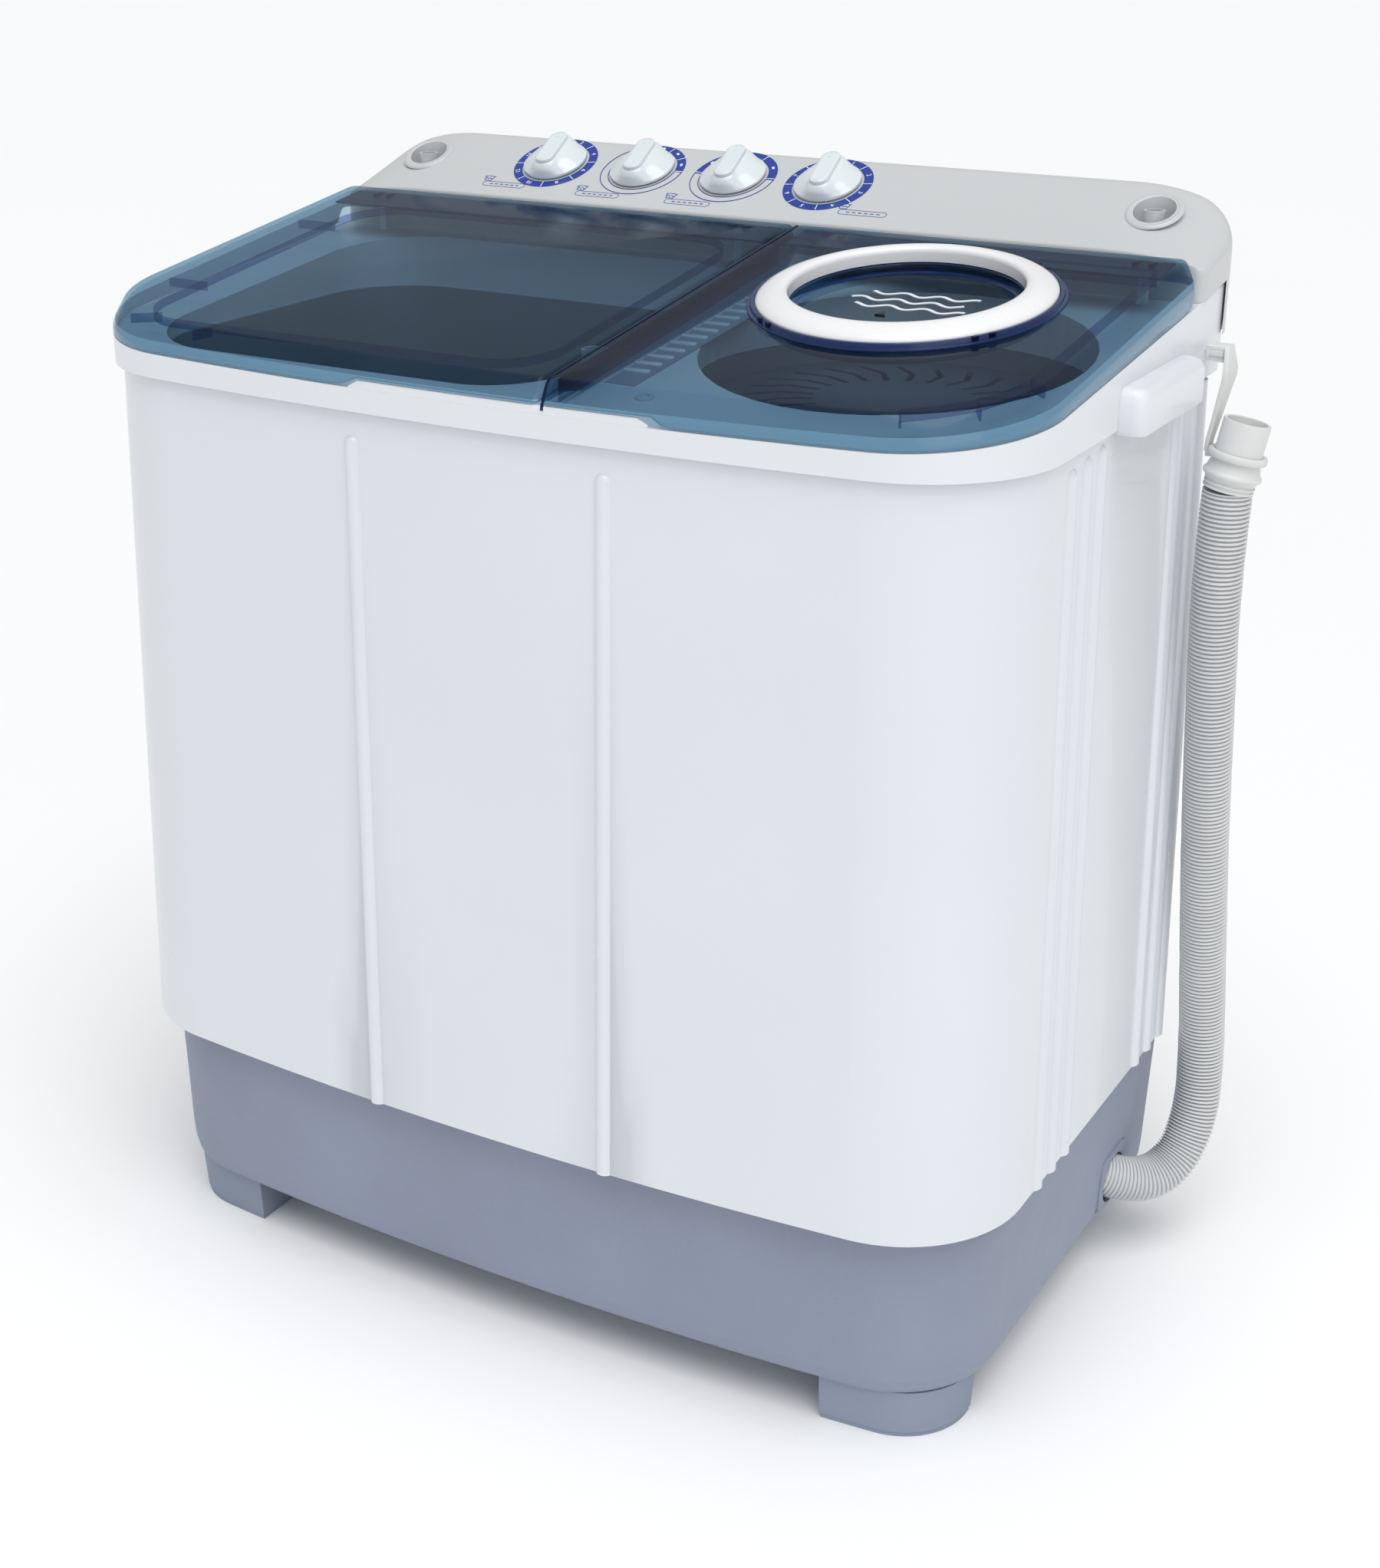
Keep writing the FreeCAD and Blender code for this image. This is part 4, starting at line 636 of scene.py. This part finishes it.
# ------------------------------------------------------------------ air intake
VC = Vector((210.0, -14.0, lid_z(-14.0)))
XD = (1, 0, 0)
vr = Mesh()
lathe(vr, [(80.5, 1.2), (80.5, 8.0), (80.9, 9.8), (82.0, 11.1), (84.2, 11.9), (87.5, 12.1), (92.0, 11.2), (97.0, 9.4), (100.6, 7.2), (102.4, 5.6),
           (102.9, 4.6), (103.0, 3.6), (102.8, 1.2), (90.0, 0.8)], VC, NL, XD, 144)
ring_ob = vr.obj("air_intake_ring", ["ring"], angle=40)
put(ring_ob, "air_vent", "ring_white", "air_vent_ring")
vf = Mesh()
lathe(vf, [(103.7, 0.1), (109.0, 0.1), (109.0, 1.0), (108.5, 1.6), (106.9, 1.8), (106.6, 2.2), (106.4, 4.1), (105.9, 4.6), (104.1, 4.6), (103.7, 4.2)], VC, NL, XD, 144)
YD = Vector(NL).cross(Vector((1, 0, 0)))
for a in (232, 322, 52, 142):
    for da in (-3.4, 3.4):
        t = math.radians(a + da)
        d = Vector((1, 0, 0)) * math.cos(t) + YD * math.sin(t)
        s_ = Vector((1, 0, 0)) * -math.sin(t) + YD * math.cos(t)
        vf.box(VC + d * 106.4 + NL * 2.6, s_ * 2.2, d * 1.2, NL * 2.4, 1)
flange_ob = vf.obj("air_intake_flange", ["flange", "lid_dark"], angle=40)
put(flange_ob, "spin_lid_body", "lid_blue", "air_vent_flange")
vd = Mesh()
lathe(vd, [(0, -14.2), (86.0, -14.2), (91.6, -12.0), (92.4, -8.0), (92.5, 0.4), (80.3, 0.5), (79.7, -0.4), (79.6, -5.0), (76.2, -6.2), (75.4, -10.6), (74.0, -11.8), (0, -11.9)],
      VC, NL, XD, 120, closed=False, mts=[2, 2, 0, 0, 1, 1, 0, 1, 0, 2, 2])
dish_ob = vd.obj("air_intake_dish", ["lid", "flange", "lid_in"], angle=40)
put(dish_ob, "air_vent", "lid_blue", "air_vent_dish")


def ribbon(mesh, pts, w, origin, ux, uy, n, h0, h1, mt=0):
    """A raised flat line of width w along 2-D points in the plane (ux, uy)."""
    o, ux, uy, n = Vector(origin), Vector(ux), Vector(uy), Vector(n)
    L, R = [], []
    for i, p in enumerate(pts):
        a = Vector(pts[max(0, i - 1)])
        b = Vector(pts[min(len(pts) - 1, i + 1)])
        t = (b - a).normalized()
        s = Vector((-t.y, t.x)) * (w / 2)
        p = Vector(p)
        L.append(p + s)
        R.append(p - s)
    lo = [mesh.loop([o + ux * q.x + uy * q.y + n * h for q in Q]) for Q, h in ((L, h0), (L, h1), (R, h1), (R, h0))]
    for i in range(4):
        mesh.bridge(lo[i], lo[(i + 1) % 4], mt, closed=False)
    mesh.cap([l[0] for l in lo], mt)
    mesh.cap([l[-1] for l in lo], mt)


ic = Mesh()
DC = VC + NL * -11.8
for k, (yy, x0, x1) in enumerate(((41, -44, 36), (27, -54, 30), (13, -46, 36))):
    pts = [(x0 + (x1 - x0) * i / 60, yy + 3.0 * math.sin(2 * PI * (x0 + (x1 - x0) * i / 60) / 27.0)) for i in range(61)]
    ribbon(ic, pts, 2.8, DC, (1, 0, 0), YD, NL, 0.0, 0.5)
put(ic.obj("air_flow_mark", ["print_white"], angle=40), "air_vent", "ring_white")
ic = Mesh()
a = ic.loop([DC + Vector((1, 0, 0)) * x + YD * y + NL * 0.1 for x, y in ((-20, -9), (-12, -9), (-16, -1))])
b = ic.loop([DC + Vector((1, 0, 0)) * x + YD * y + NL * 2.2 for x, y in ((-20, -9), (-12, -9), (-16, -1))])
ic.bridge(a, b)
ic.cap(a)
ic.cap(b)
put(ic.obj("air_intake_pointer", ["black"], angle=30, bevel=0.3), "air_vent", "ring_white")

# ================================================================== console
CON_HW, CON_FRONT, CON_REAR, CON_TOP = 372.0, 130.4, 218.0, 843.5


def con_section(x):
    ax = abs(x)
    d = 0.0
    if ax > 290:
        u = min(1.0, (ax - 290) / 82.0)
        d = 36.0 * (1 - math.sqrt(max(0.0, 1 - u * u)))
    yr = CON_REAR
    if ax > 338:
        yr = CON_REAR - 34 + math.sqrt(max(0.0, 34 ** 2 - (ax - 338) ** 2))
    yf = CON_FRONT
    if ax > 364:
        yf = CON_FRONT + 8 - math.sqrt(max(0.0, 64 - (ax - 364) ** 2))
    zf = 805.0 - 0.36 * d
    zr = CON_TOP - d
    rf = 1.8
    yt = min(yr - 6.0, 212.2)
    sl_ = (zr - zf) / max(20.0, (212.2 - CON_FRONT))
    ztop = zf + sl_ * (yt - CON_FRONT)
    p = [(yf, deck_z(yf) - 0.3), (yf, zf - 6.0), (yf, zf - rf), (yf + 0.5, zf - 0.35), (yf + rf, zf + sl_ * rf * 0.6)]
    for i in range(1, 12):
        t = i / 12
        yy = yf + rf + (yt - 7 - yf - rf) * t
        p.append((yy, zf + sl_ * (yy - yf)))
    zb = zf + sl_ * (yt - 7 - yf)
    for i in range(7):     # soft top rear edge
        t = i / 6
        yy = yt - 7 + (yr - yt + 7) * math.sin(t * PI / 2)
        zz = zb + (ztop - zb + 1.0) * math.sin(t * PI / 2) - 7.0 * (1 - math.cos(t * PI / 2))
        p.append((yy, zz))
    p += [(yr, zb - 22.0), (yr, 742.2), (max(yf + 4, 213.6 if yr > 214 else yr - 2), 742.2), (max(yf + 3, 213.6 if yr > 214 else yr - 2), deck_z(212) - 0.3)]
    return p


xs = [290 * i / 14 for i in range(15)]
xs += [290 + 82 * math.sin(PI / 2 * i / 18) for i in range(1, 19)]
xs = [-x for x in reversed(xs[1:])] + xs
cm = Mesh()
lps = [cm.loop([(x, y, z) for y, z in con_section(x)]) for x in xs]
for a, b in zip(lps, lps[1:]):
    cm.bridge(a, b)
cm.cap(lps[0])
cm.cap(lps[-1])
con_ob = cm.obj("console_cover", ["console"], angle=40)
cut = Mesh()
for sx in (-1, 1):
    lathe(cut, [(0, 797.9), (17.45, 797.9), (17.45, 900), (0, 900)], (sx * 317, 176, 0), (0, 0, 1), (1, 0, 0), 64, closed=False)
cut_ob = cut.obj("cutter", ["console"])
bo = con_ob.modifiers.new("holes", "BOOLEAN")
bo.operation = "DIFFERENCE"
bo.solver = "EXACT"
bo.object = cut_ob
dg = bpy.context.evaluated_depsgraph_get()
new = bpy.data.meshes.new_from_object(con_ob.evaluated_get(dg))
con_ob.modifiers.clear()
con_ob.data = new
new.shade_smooth()
new.set_sharp_from_angle(angle=math.radians(40))
bpy.data.objects.remove(cut_ob)
put(con_ob, "cabinet", "console_grey", "console_housing")


# ------------------------------------------------------------------ dials and knobs
def on_panel(x, y, h=0.0):
    return Vector((x, y, panel_z(y))) + NP * h


KNOB_X = (-190.9, -108.4, -25.9, 56.6)
KY = 177.0


def sector(mesh, c, r0, r1, a0, a1, h0, h1, mt=0, n=None):
    n = n or max(2, int(abs(a1 - a0) / math.radians(4)))
    full = abs(abs(a1 - a0) - 2 * PI) < 1e-6
    rings = []
    for r, h in ((r0, h0), (r1, h0), (r1, h1), (r0, h1)):
        k = n if full else n + 1
        rings.append(mesh.loop([c + (Vector((1, 0, 0)) * math.cos(a0 + (a1 - a0) * i / n) + UP * math.sin(a0 + (a1 - a0) * i / n)) * r + NP * h for i in range(k)]))
    for i in range(4):
        mesh.bridge(rings[i], rings[(i + 1) % 4], mt, closed=full)
    if not full:
        mesh.cap([q[0] for q in rings], mt)
        mesh.cap([q[-1] for q in rings], mt)


def glyph(text, c, size, ux, uy, n, h, name, material):
    """A generic numeral as a thin raised mesh."""
    fc = bpy.data.curves.new(name, "FONT")
    fc.body = text
    fc.size = 1.0
    fc.extrude = 0.02
    fc.align_x = "CENTER"
    fc.align_y = "CENTER"
    fo = bpy.data.objects.new(name, fc)
    bpy.context.scene.collection.objects.link(fo)
    bpy.context.view_layer.update()
    me_ = bpy.data.meshes.new_from_object(fo)
    bpy.data.objects.remove(fo)
    vs = [Vector(c) + Vector(ux) * v.co.x * size + Vector(uy) * v.co.y * size + Vector(n) * (h + v.co.z * size) for v in me_.vertices]
    fs = [tuple(p.vertices) for p in me_.polygons]
    bpy.data.meshes.remove(me_)
    return vs, fs


dial_nodes = ["dial_rings"]
for di, kx in enumerate(KNOB_X):
    c = on_panel(kx, KY)
    bl, wh = Mesh(), Mesh()
    full = di in (0, 3)
    if full:
        sector(bl, c, 28.3, 35.5, 0, 2 * PI, 0.02, 0.45, n=96)
        cnt = 8
        for i in range(cnt):
            a = math.radians(90 + 360 / cnt * i + 8)
            sector(wh, c, 28.4, 35.4, a - 0.010, a + 0.010, 0.46, 0.62, n=2)
            am = a + math.radians(180 / cnt)
            d = Vector((1, 0, 0)) * math.cos(am) + UP * math.sin(am)
            tx_ = UP * math.cos(am) * 1.0 - Vector((1, 0, 0)) * math.sin(am)
            vs, fs = glyph(str((cnt - i) * (2 if di == 0 else 1) % 16), c + d * 31.9, 5.4, -tx_, d, NP, 0.52, "n", "print_white")
            off = len(wh.v)
            wh.v.extend(vs)
            for f_ in fs:
                wh.f.append(tuple(off + q for q in f_))
                wh.m.append(0)
    else:
        a0, a1 = (math.radians(2), math.radians(100)) if di == 1 else (math.radians(0), math.radians(178))
        sector(bl, c, 28.3, 35.5, a0, a1, 0.02, 0.45)
        sector(bl, c, 28.3, 28.9, 0, 2 * PI, 0.01, 0.40, n=96)
        sector(bl, c, 34.9, 35.5, 0, 2 * PI, 0.01, 0.40, n=96)
        for a in ([math.radians(v) for v in ((2, 36, 68, 100) if di == 1 else (2, 62, 118, 176))]):
            sector(wh, c, 28.4, 35.4, a - 0.010, a + 0.010, 0.46, 0.62, n=2)
        for a in ((19, 52, 84) if di == 1 else (30, 90, 148)):
            am = math.radians(a)
            sector(wh, c, 31.0, 33.0, am - 0.05, am + 0.05, 0.46, 0.62, n=3)
    bo_ = bl.obj("dial_%d_scale" % (di + 1), ["dial_blue" if full else "dial_blue"], angle=30)
    put(bo_, "cabinet", "dial_blue", *(dial_nodes if di == 0 else []))
    put(wh.obj("dial_%d_marks" % (di + 1), ["print_white"], smooth=False), "cabinet", "dial_blue")
    # small tub mark and an empty rounded label box below the dial
    lb = Mesh()
    sgn = -1 if di < 3 else 1
    lc = on_panel(kx - 8 if di < 3 else kx + 46, 0)
    lx = (kx - 30, kx - 22, kx - 22, kx + 44)[di]
    ly = (144.0, 141.5, 141.0, 146.0)[di]
    lc = on_panel(lx, ly)
    w2, h2 = 20.0, 3.1
    pts = arc(w2 - h2, 0, h2, -PI / 2, PI / 2, 8) + arc(-w2 + h2, 0, h2, PI / 2, 1.5 * PI, 8)
    pts.append(pts[0])
    ribbon(lb, pts, 0.5, lc, (1, 0, 0), UP, NP, 0.01, 0.18)
    for q in range(6):     # plain dashes in place of the words
        x0_ = -13.5 + q * 5.0
        ribbon(lb, [(x0_, 0), (x0_ + 3.0, 0)], 1.0, lc, (1, 0, 0), UP, NP, 0.01, 0.18)
    ico = lc + Vector((1, 0, 0)) * (-18.0) + UP * 6.6
    ribbon(lb, [(-4, 2.6), (-3, -2.4), (3, -2.4), (4, 2.6)], 0.9, ico, (1, 0, 0), UP, NP, 0.01, 0.18)
    ribbon(lb, [(-3.0 + 0.5 * i, 0.6 + 0.7 * math.sin(i * 1.0)) for i in range(13)], 0.7, ico, (1, 0, 0), UP, NP, 0.01, 0.18)
    ribbon(lb, [(-5.2, 3.0), (-2.0, 3.9), (2.0, 3.9), (5.2, 3.0)], 0.7, ico, (1, 0, 0), UP, NP, 0.01, 0.18)
    put(lb.obj("dial_%d_label" % (di + 1), ["print_blue"], smooth=False), "cabinet", "dial_blue")


def stadium(n, half, r, ang):
    """n points round a stadium, matched to circle angles, its long axis at ang."""
    out = []
    for i in range(n):
        a = 2 * PI * i / n
        b = a - ang
        cx, sy = math.cos(b), math.sin(b)
        # ray from the centre out to the stadium
        if abs(sy) > 1e-9 and abs(cx / sy) * r <= half - r:
            t = r / abs(sy)
            x, y = cx * t, sy * t
        else:
            h = half - r
            s = 1 if cx > 0 else -1
            bq = cx * s * h
            t = bq + math.sqrt(max(0.0, bq * bq - h * h + r * r))
            x, y = cx * t, sy * t
        out.append((x * math.cos(ang) - y * math.sin(ang), x * math.sin(ang) + y * math.cos(ang)))
    return out


KNOB_NODES = ("wash_timer_knob", "wash_selector_knob", "drain_selector_knob", "spin_timer_knob")
N = 128
BAR = math.radians(96)
for di, kx in enumerate(KNOB_X):
    c = on_panel(kx, KY)
    km = Mesh()

    def kl(pts, h):
        return km.loop([c + Vector((1, 0, 0)) * x + UP * y + NP * h for x, y in pts])

    circ_ = lambda r: [(r * math.cos(2 * PI * i / N), r * math.sin(2 * PI * i / N)) for i in range(N)]
    st = lambda e: stadium(N, 21.8 + e, 7.4 + e, BAR)
    seq = [kl(circ_(24.5), 1.45), kl(circ_(26.2), 1.45), kl(circ_(26.5), 1.8), kl(circ_(26.4), 3.4)]
    for i in range(1, 13):
        t = i / 12
        b = t ** 0.92
        pts = []
        for (cx_, cy_), (sx_, sy_) in zip(circ_(26.4), st(0.5)):
            bulge = 1.0 + 0.05 * math.sin(PI * t)
            pts.append(((cx_ + (sx_ - cx_) * b) * bulge, (cy_ + (sy_ - cy_) * b) * bulge))
        seq.append(kl(pts, 3.4 + 9.8 * (1 - (1 - t) ** 1.35)))
    seq += [kl(st(0.35), 14.2), kl(st(0.2), 15.4), kl(st(-0.15), 16.1), kl(st(-0.8), 16.5), kl(st(-1.7), 16.6), kl(st(-1.9), 16.2), kl(st(-2.4), 16.2), kl(st(-2.6), 16.6)]
    for a, b in zip(seq, seq[1:]):
        km.bridge(a, b)
    km.cap(seq[0])
    km.cap(seq[-1])
    # small oval mark at the upper end of the grip
    o = c + (Vector((1, 0, 0)) * math.cos(BAR) + UP * math.sin(BAR)) * 14.8 + NP * 16.45
    pr = [(2.6 * math.cos(2 * PI * i / 24), 1.5 * math.sin(2 * PI * i / 24)) for i in range(25)]
    ux = Vector((1, 0, 0)) * math.cos(BAR) + UP * math.sin(BAR)
    uy = -Vector((1, 0, 0)) * math.sin(BAR) + UP * math.cos(BAR)
    ribbon(km, pr, 0.5, o, ux, uy, NP, 0.0, 0.45)
    kob = km.obj(KNOB_NODES[di] + "_shell", ["knob"], angle=35)
    put(kob, "knob_%d" % (di + 1), "knob_white", KNOB_NODES[di])

for sx in (-1, 1):
    hm = Mesh()

    def hplan(d, z):
        r = 9.0 - 0.3 * d
        ox = 388.0 - d
        pts = [(370.05, -28 + d)] + [(ox - r + r * math.cos(a), -28 + d + r + r * math.sin(a)) for a in [-PI / 2 + PI / 2 * i / 6 for i in range(7)]]
        pts += [(ox - r + r * math.cos(a), 103 - d - r + r * math.sin(a)) for a in [PI / 2 * i / 6 for i in range(7)]] + [(370.05, 103 - d)]
        return hm.loop([(sx * x, y, z) for x, y in pts])

    q = [hplan(0.6, 712.0), hplan(0.0, 713.2), hplan(0.0, 733.0), hplan(0.9, 737.6), hplan(2.6, 740.8), hplan(5.0, 742.5), hplan(7.6, 743.0)]
    w = [hplan(3.0, 712.0), hplan(3.2, 730.0), hplan(5.0, 738.0), hplan(7.6, 739.6)]
    for a, b in zip(q, q[1:]):
        hm.bridge(a, b)
    for a, b in zip(w, w[1:]):
        hm.bridge(a, b)
    hm.bridge(q[0], w[0])
    hm.cap(q[-1])
    hm.cap(w[-1])
    put(hm.obj("carry_handle_%d" % (1 if sx < 0 else 2), ["frame"], angle=40), "cabinet", "frame_white", "carry_handles")
dp = Mesh()
bt = Mesh()
wall_x = lambda z: 361.6 + 5.6 * (z - 40.0) / 140.0
HC = (119.3, 70.3)
nb = 72
outer = []
for i in range(nb):
    a = 2 * PI * i / nb
    ca, sa = math.cos(a), math.sin(a)
    k = (abs(ca / 27.6) ** 5 + abs(sa / 24.6) ** 5) ** -0.2
    outer.append((118.4 + ca * k, 71.8 + sa * k))
inner_ = [(HC[0] + 22.2 * math.cos(2 * PI * i / nb), HC[1] + 20.6 * math.sin(2 * PI * i / nb)) for i in range(nb)]
rows = []
for pts, off in ((outer, -1.2), (outer, 0.6), ([(y * 0.985 + 118.4 * 0.015, z * 0.985 + 71.8 * 0.015) for y, z in outer], 1.5), (inner_, 1.7), (inner_, -1.2)):
    rows.append(bt.loop([(wall_x(z) + off, y, z) for y, z in pts]))
for i in range(len(rows)):
    bt.bridge(rows[i], rows[(i + 1) % len(rows)])
put(bt.obj("hose_outlet_plate", ["base"], angle=40), "cabinet", "base_grey")
dp = Mesh()
for a0, a1, w0, w1 in ((62.5, 86.0, -168.0, 70.0),):
    lo = dp.loop([(x, y, deck_z(y) - 0.6) for x, y in ((a0, w0), (a1, w0), (a1, w1), (a0, w1))])
    hi = dp.loop([(x, y, deck_z(y) + 0.2) for x, y in ((a0, w0), (a1, w0), (a1, w1), (a0, w1))])
    dp.bridge(lo, hi)
    dp.cap(lo)
    dp.cap(hi)
put(dp.obj("deck_louvre_panel", ["deck_dark"]), "cabinet", "frame_white")
# white ledge of the frame under the shallow part of the lids' front lip
lg = Mesh()
fy_ = lambda x, o: -240.0 + o + BOW - math.sqrt(BOW ** 2 - x ** 2)
xs_ = [-97 + 232 * i / 30 for i in range(31)]
rows = []
for o, h in ((0.5, -0.8), (0.5, 4.2), (1.1, 5.0), (2.6, 5.2), (3.0, 4.6), (3.0, -0.8)):
    rows.append(lg.loop([(x, fy_(x, o), deck_z(fy_(x, o)) + (h if h < 0 else max(-0.4, h * smooth((x + 99) / 8.0) * smooth((137 - x) / 8.0)))) for x in xs_]))
for i in range(len(rows)):
    lg.bridge(rows[i], rows[(i + 1) % len(rows)], closed=False)
lg.cap([r[0] for r in rows])
lg.cap([r[-1] for r in rows])
put(lg.obj("front_ledge", ["frame"], angle=40), "cabinet", "frame_white")
# dark outline along the spin lid's raised edge at the seam
sm_ = Mesh()
line = [(122.0, 0.1), (60.0, 0.1), (-40.0, 0.1), (-140.0, 0.1), (-222.0, 0.1), (-229.6, -0.6), (-232.6, -3.0), (-236.2, -9.0), (-239.0, -15.2), (-239.6, -18.0)]
rows = []
for dx, dh in ((57.3, -0.3), (57.3, 0.35), (59.3, 0.35), (59.3, -0.3)):
    pts = []
    for y, h in line:
        k = smooth((-222 - y) / 8.0)
        pts.append((dx, y - dh * k + 0.25 * k, lid_z(y) + h + dh * (1 - k)))
    rows.append(sm_.loop(pts))
for i in range(4):
    sm_.bridge(rows[i], rows[(i + 1) % 4], closed=False)
sm_.cap([r[0] for r in rows])
sm_.cap([r[-1] for r in rows])
put(sm_.obj("seam_outline", ["lid_dark"], angle=40), "spin_lid_body", "lid_blue")
# rounded rims round the water inlets
for sx in (-1, 1):
    rm = Mesh()
    c = Vector((sx * 317, 176, panel_z(176)))
    K = 1.0 / math.cos(PS)
    rows = []
    for r, h in ((16.4, -2.0), (16.2, 0.2), (16.9, 1.1), (18.2, 1.5), (19.6, 1.2), (20.8, 0.4), (21.2, -0.3), (17.0, -2.0)):
        rows.append(rm.loop([c + Vector((1, 0, 0)) * r * math.cos(2 * PI * i / 72) + UP * (r * K if r < 17.5 else r + (17.45 * K - 17.45)) * math.sin(2 * PI * i / 72) + NP * h for i in range(72)]))
    for i in range(len(rows)):
        rm.bridge(rows[i], rows[(i + 1) % len(rows)])
    put(rm.obj("inlet_rim_%d" % (1 if sx < 0 else 2), ["console"], angle=60), "cabinet", "console_grey")
dk = Mesh()
for i in range(12):
    y = -140 + 16.0 * i
    x = 71.0
    z = deck_z(y) - 0.5
    pts = [(x + px, y + py) for px, py in arc(-8, 0, 2.6, PI / 2, 1.5 * PI, 6) + arc(8, 0, 2.6, -PI / 2, PI / 2, 6)]
    a = dk.loop([(px, py, deck_z(py) - 0.9) for px, py in pts])
    b = dk.loop([(px, py, deck_z(py) + 1.4) for px, py in pts])
    dk.bridge(a, b)
    dk.cap(a)
    dk.cap(b)
put(dk.obj("deck_louvres", ["ring"], bevel=0.5, bevel_angle=50), "cabinet", "frame_white")
bs_ = Mesh()
lathe(bs_, [(0, -1), (6.5, -1), (6.5, 0.8), (5.9, 1.4), (3.2, 1.6), (2.9, 0.6), (0, 0.5)], (104, -186, deck_z(-186) - 0.4), (0, -0.11, 1), (1, 0, 0), 40, closed=False)
put(bs_.obj("deck_screw_boss", ["inner"], angle=40), "cabinet", "frame_white")

# ================================================================== floor and light
fl = bpy.data.meshes.new("floor")
fl.from_pydata([(-60, -60, 0), (60, -60, 0), (60, 60, 0), (-60, 60, 0)], [], [(0, 1, 2, 3)])
floor = bpy.data.objects.new("floor", fl)
bpy.context.scene.collection.objects.link(floor)
fl.materials.append(mat("floor_pale", (0.95, 0.95, 0.95), rough=0.75, var=0.004, var_scale=1.0, spec=0.2))

world = bpy.data.worlds.new("studio")
bpy.context.scene.world = world
world.use_nodes = True
bg = world.node_tree.nodes["Background"]
bg.inputs[0].default_value = (0.97, 0.985, 1.0, 1)
bg.inputs[1].default_value = 0.52


def area(name, loc, target, size, power, col=(1, 1, 1)):
    ld = bpy.data.lights.new(name, "AREA")
    ld.shape = "RECTANGLE"
    ld.size, ld.size_y = size
    ld.energy = power
    ld.color = col
    lo = bpy.data.objects.new(name, ld)
    bpy.context.scene.collection.objects.link(lo)
    lo.location = loc
    lo.rotation_euler = (Vector(target) - Vector(loc)).to_track_quat("-Z", "Y").to_euler()
    return lo


area("key", (1.8, -1.5, 1.6), (0, 0, 0.5), (1.6, 1.6), 7)
sd = bpy.data.lights.new("sky_sun", "SUN")
sd.energy = 1.75
sd.angle = math.radians(50)
so = bpy.data.objects.new("sky_sun", sd)
bpy.context.scene.collection.objects.link(so)
so.rotation_euler = Vector((-0.24, 0.32, -1.0)).to_track_quat("-Z", "Y").to_euler()

bpy.context.scene.view_settings.view_transform = "Standard"
bpy.context.scene.view_settings.look = "None"
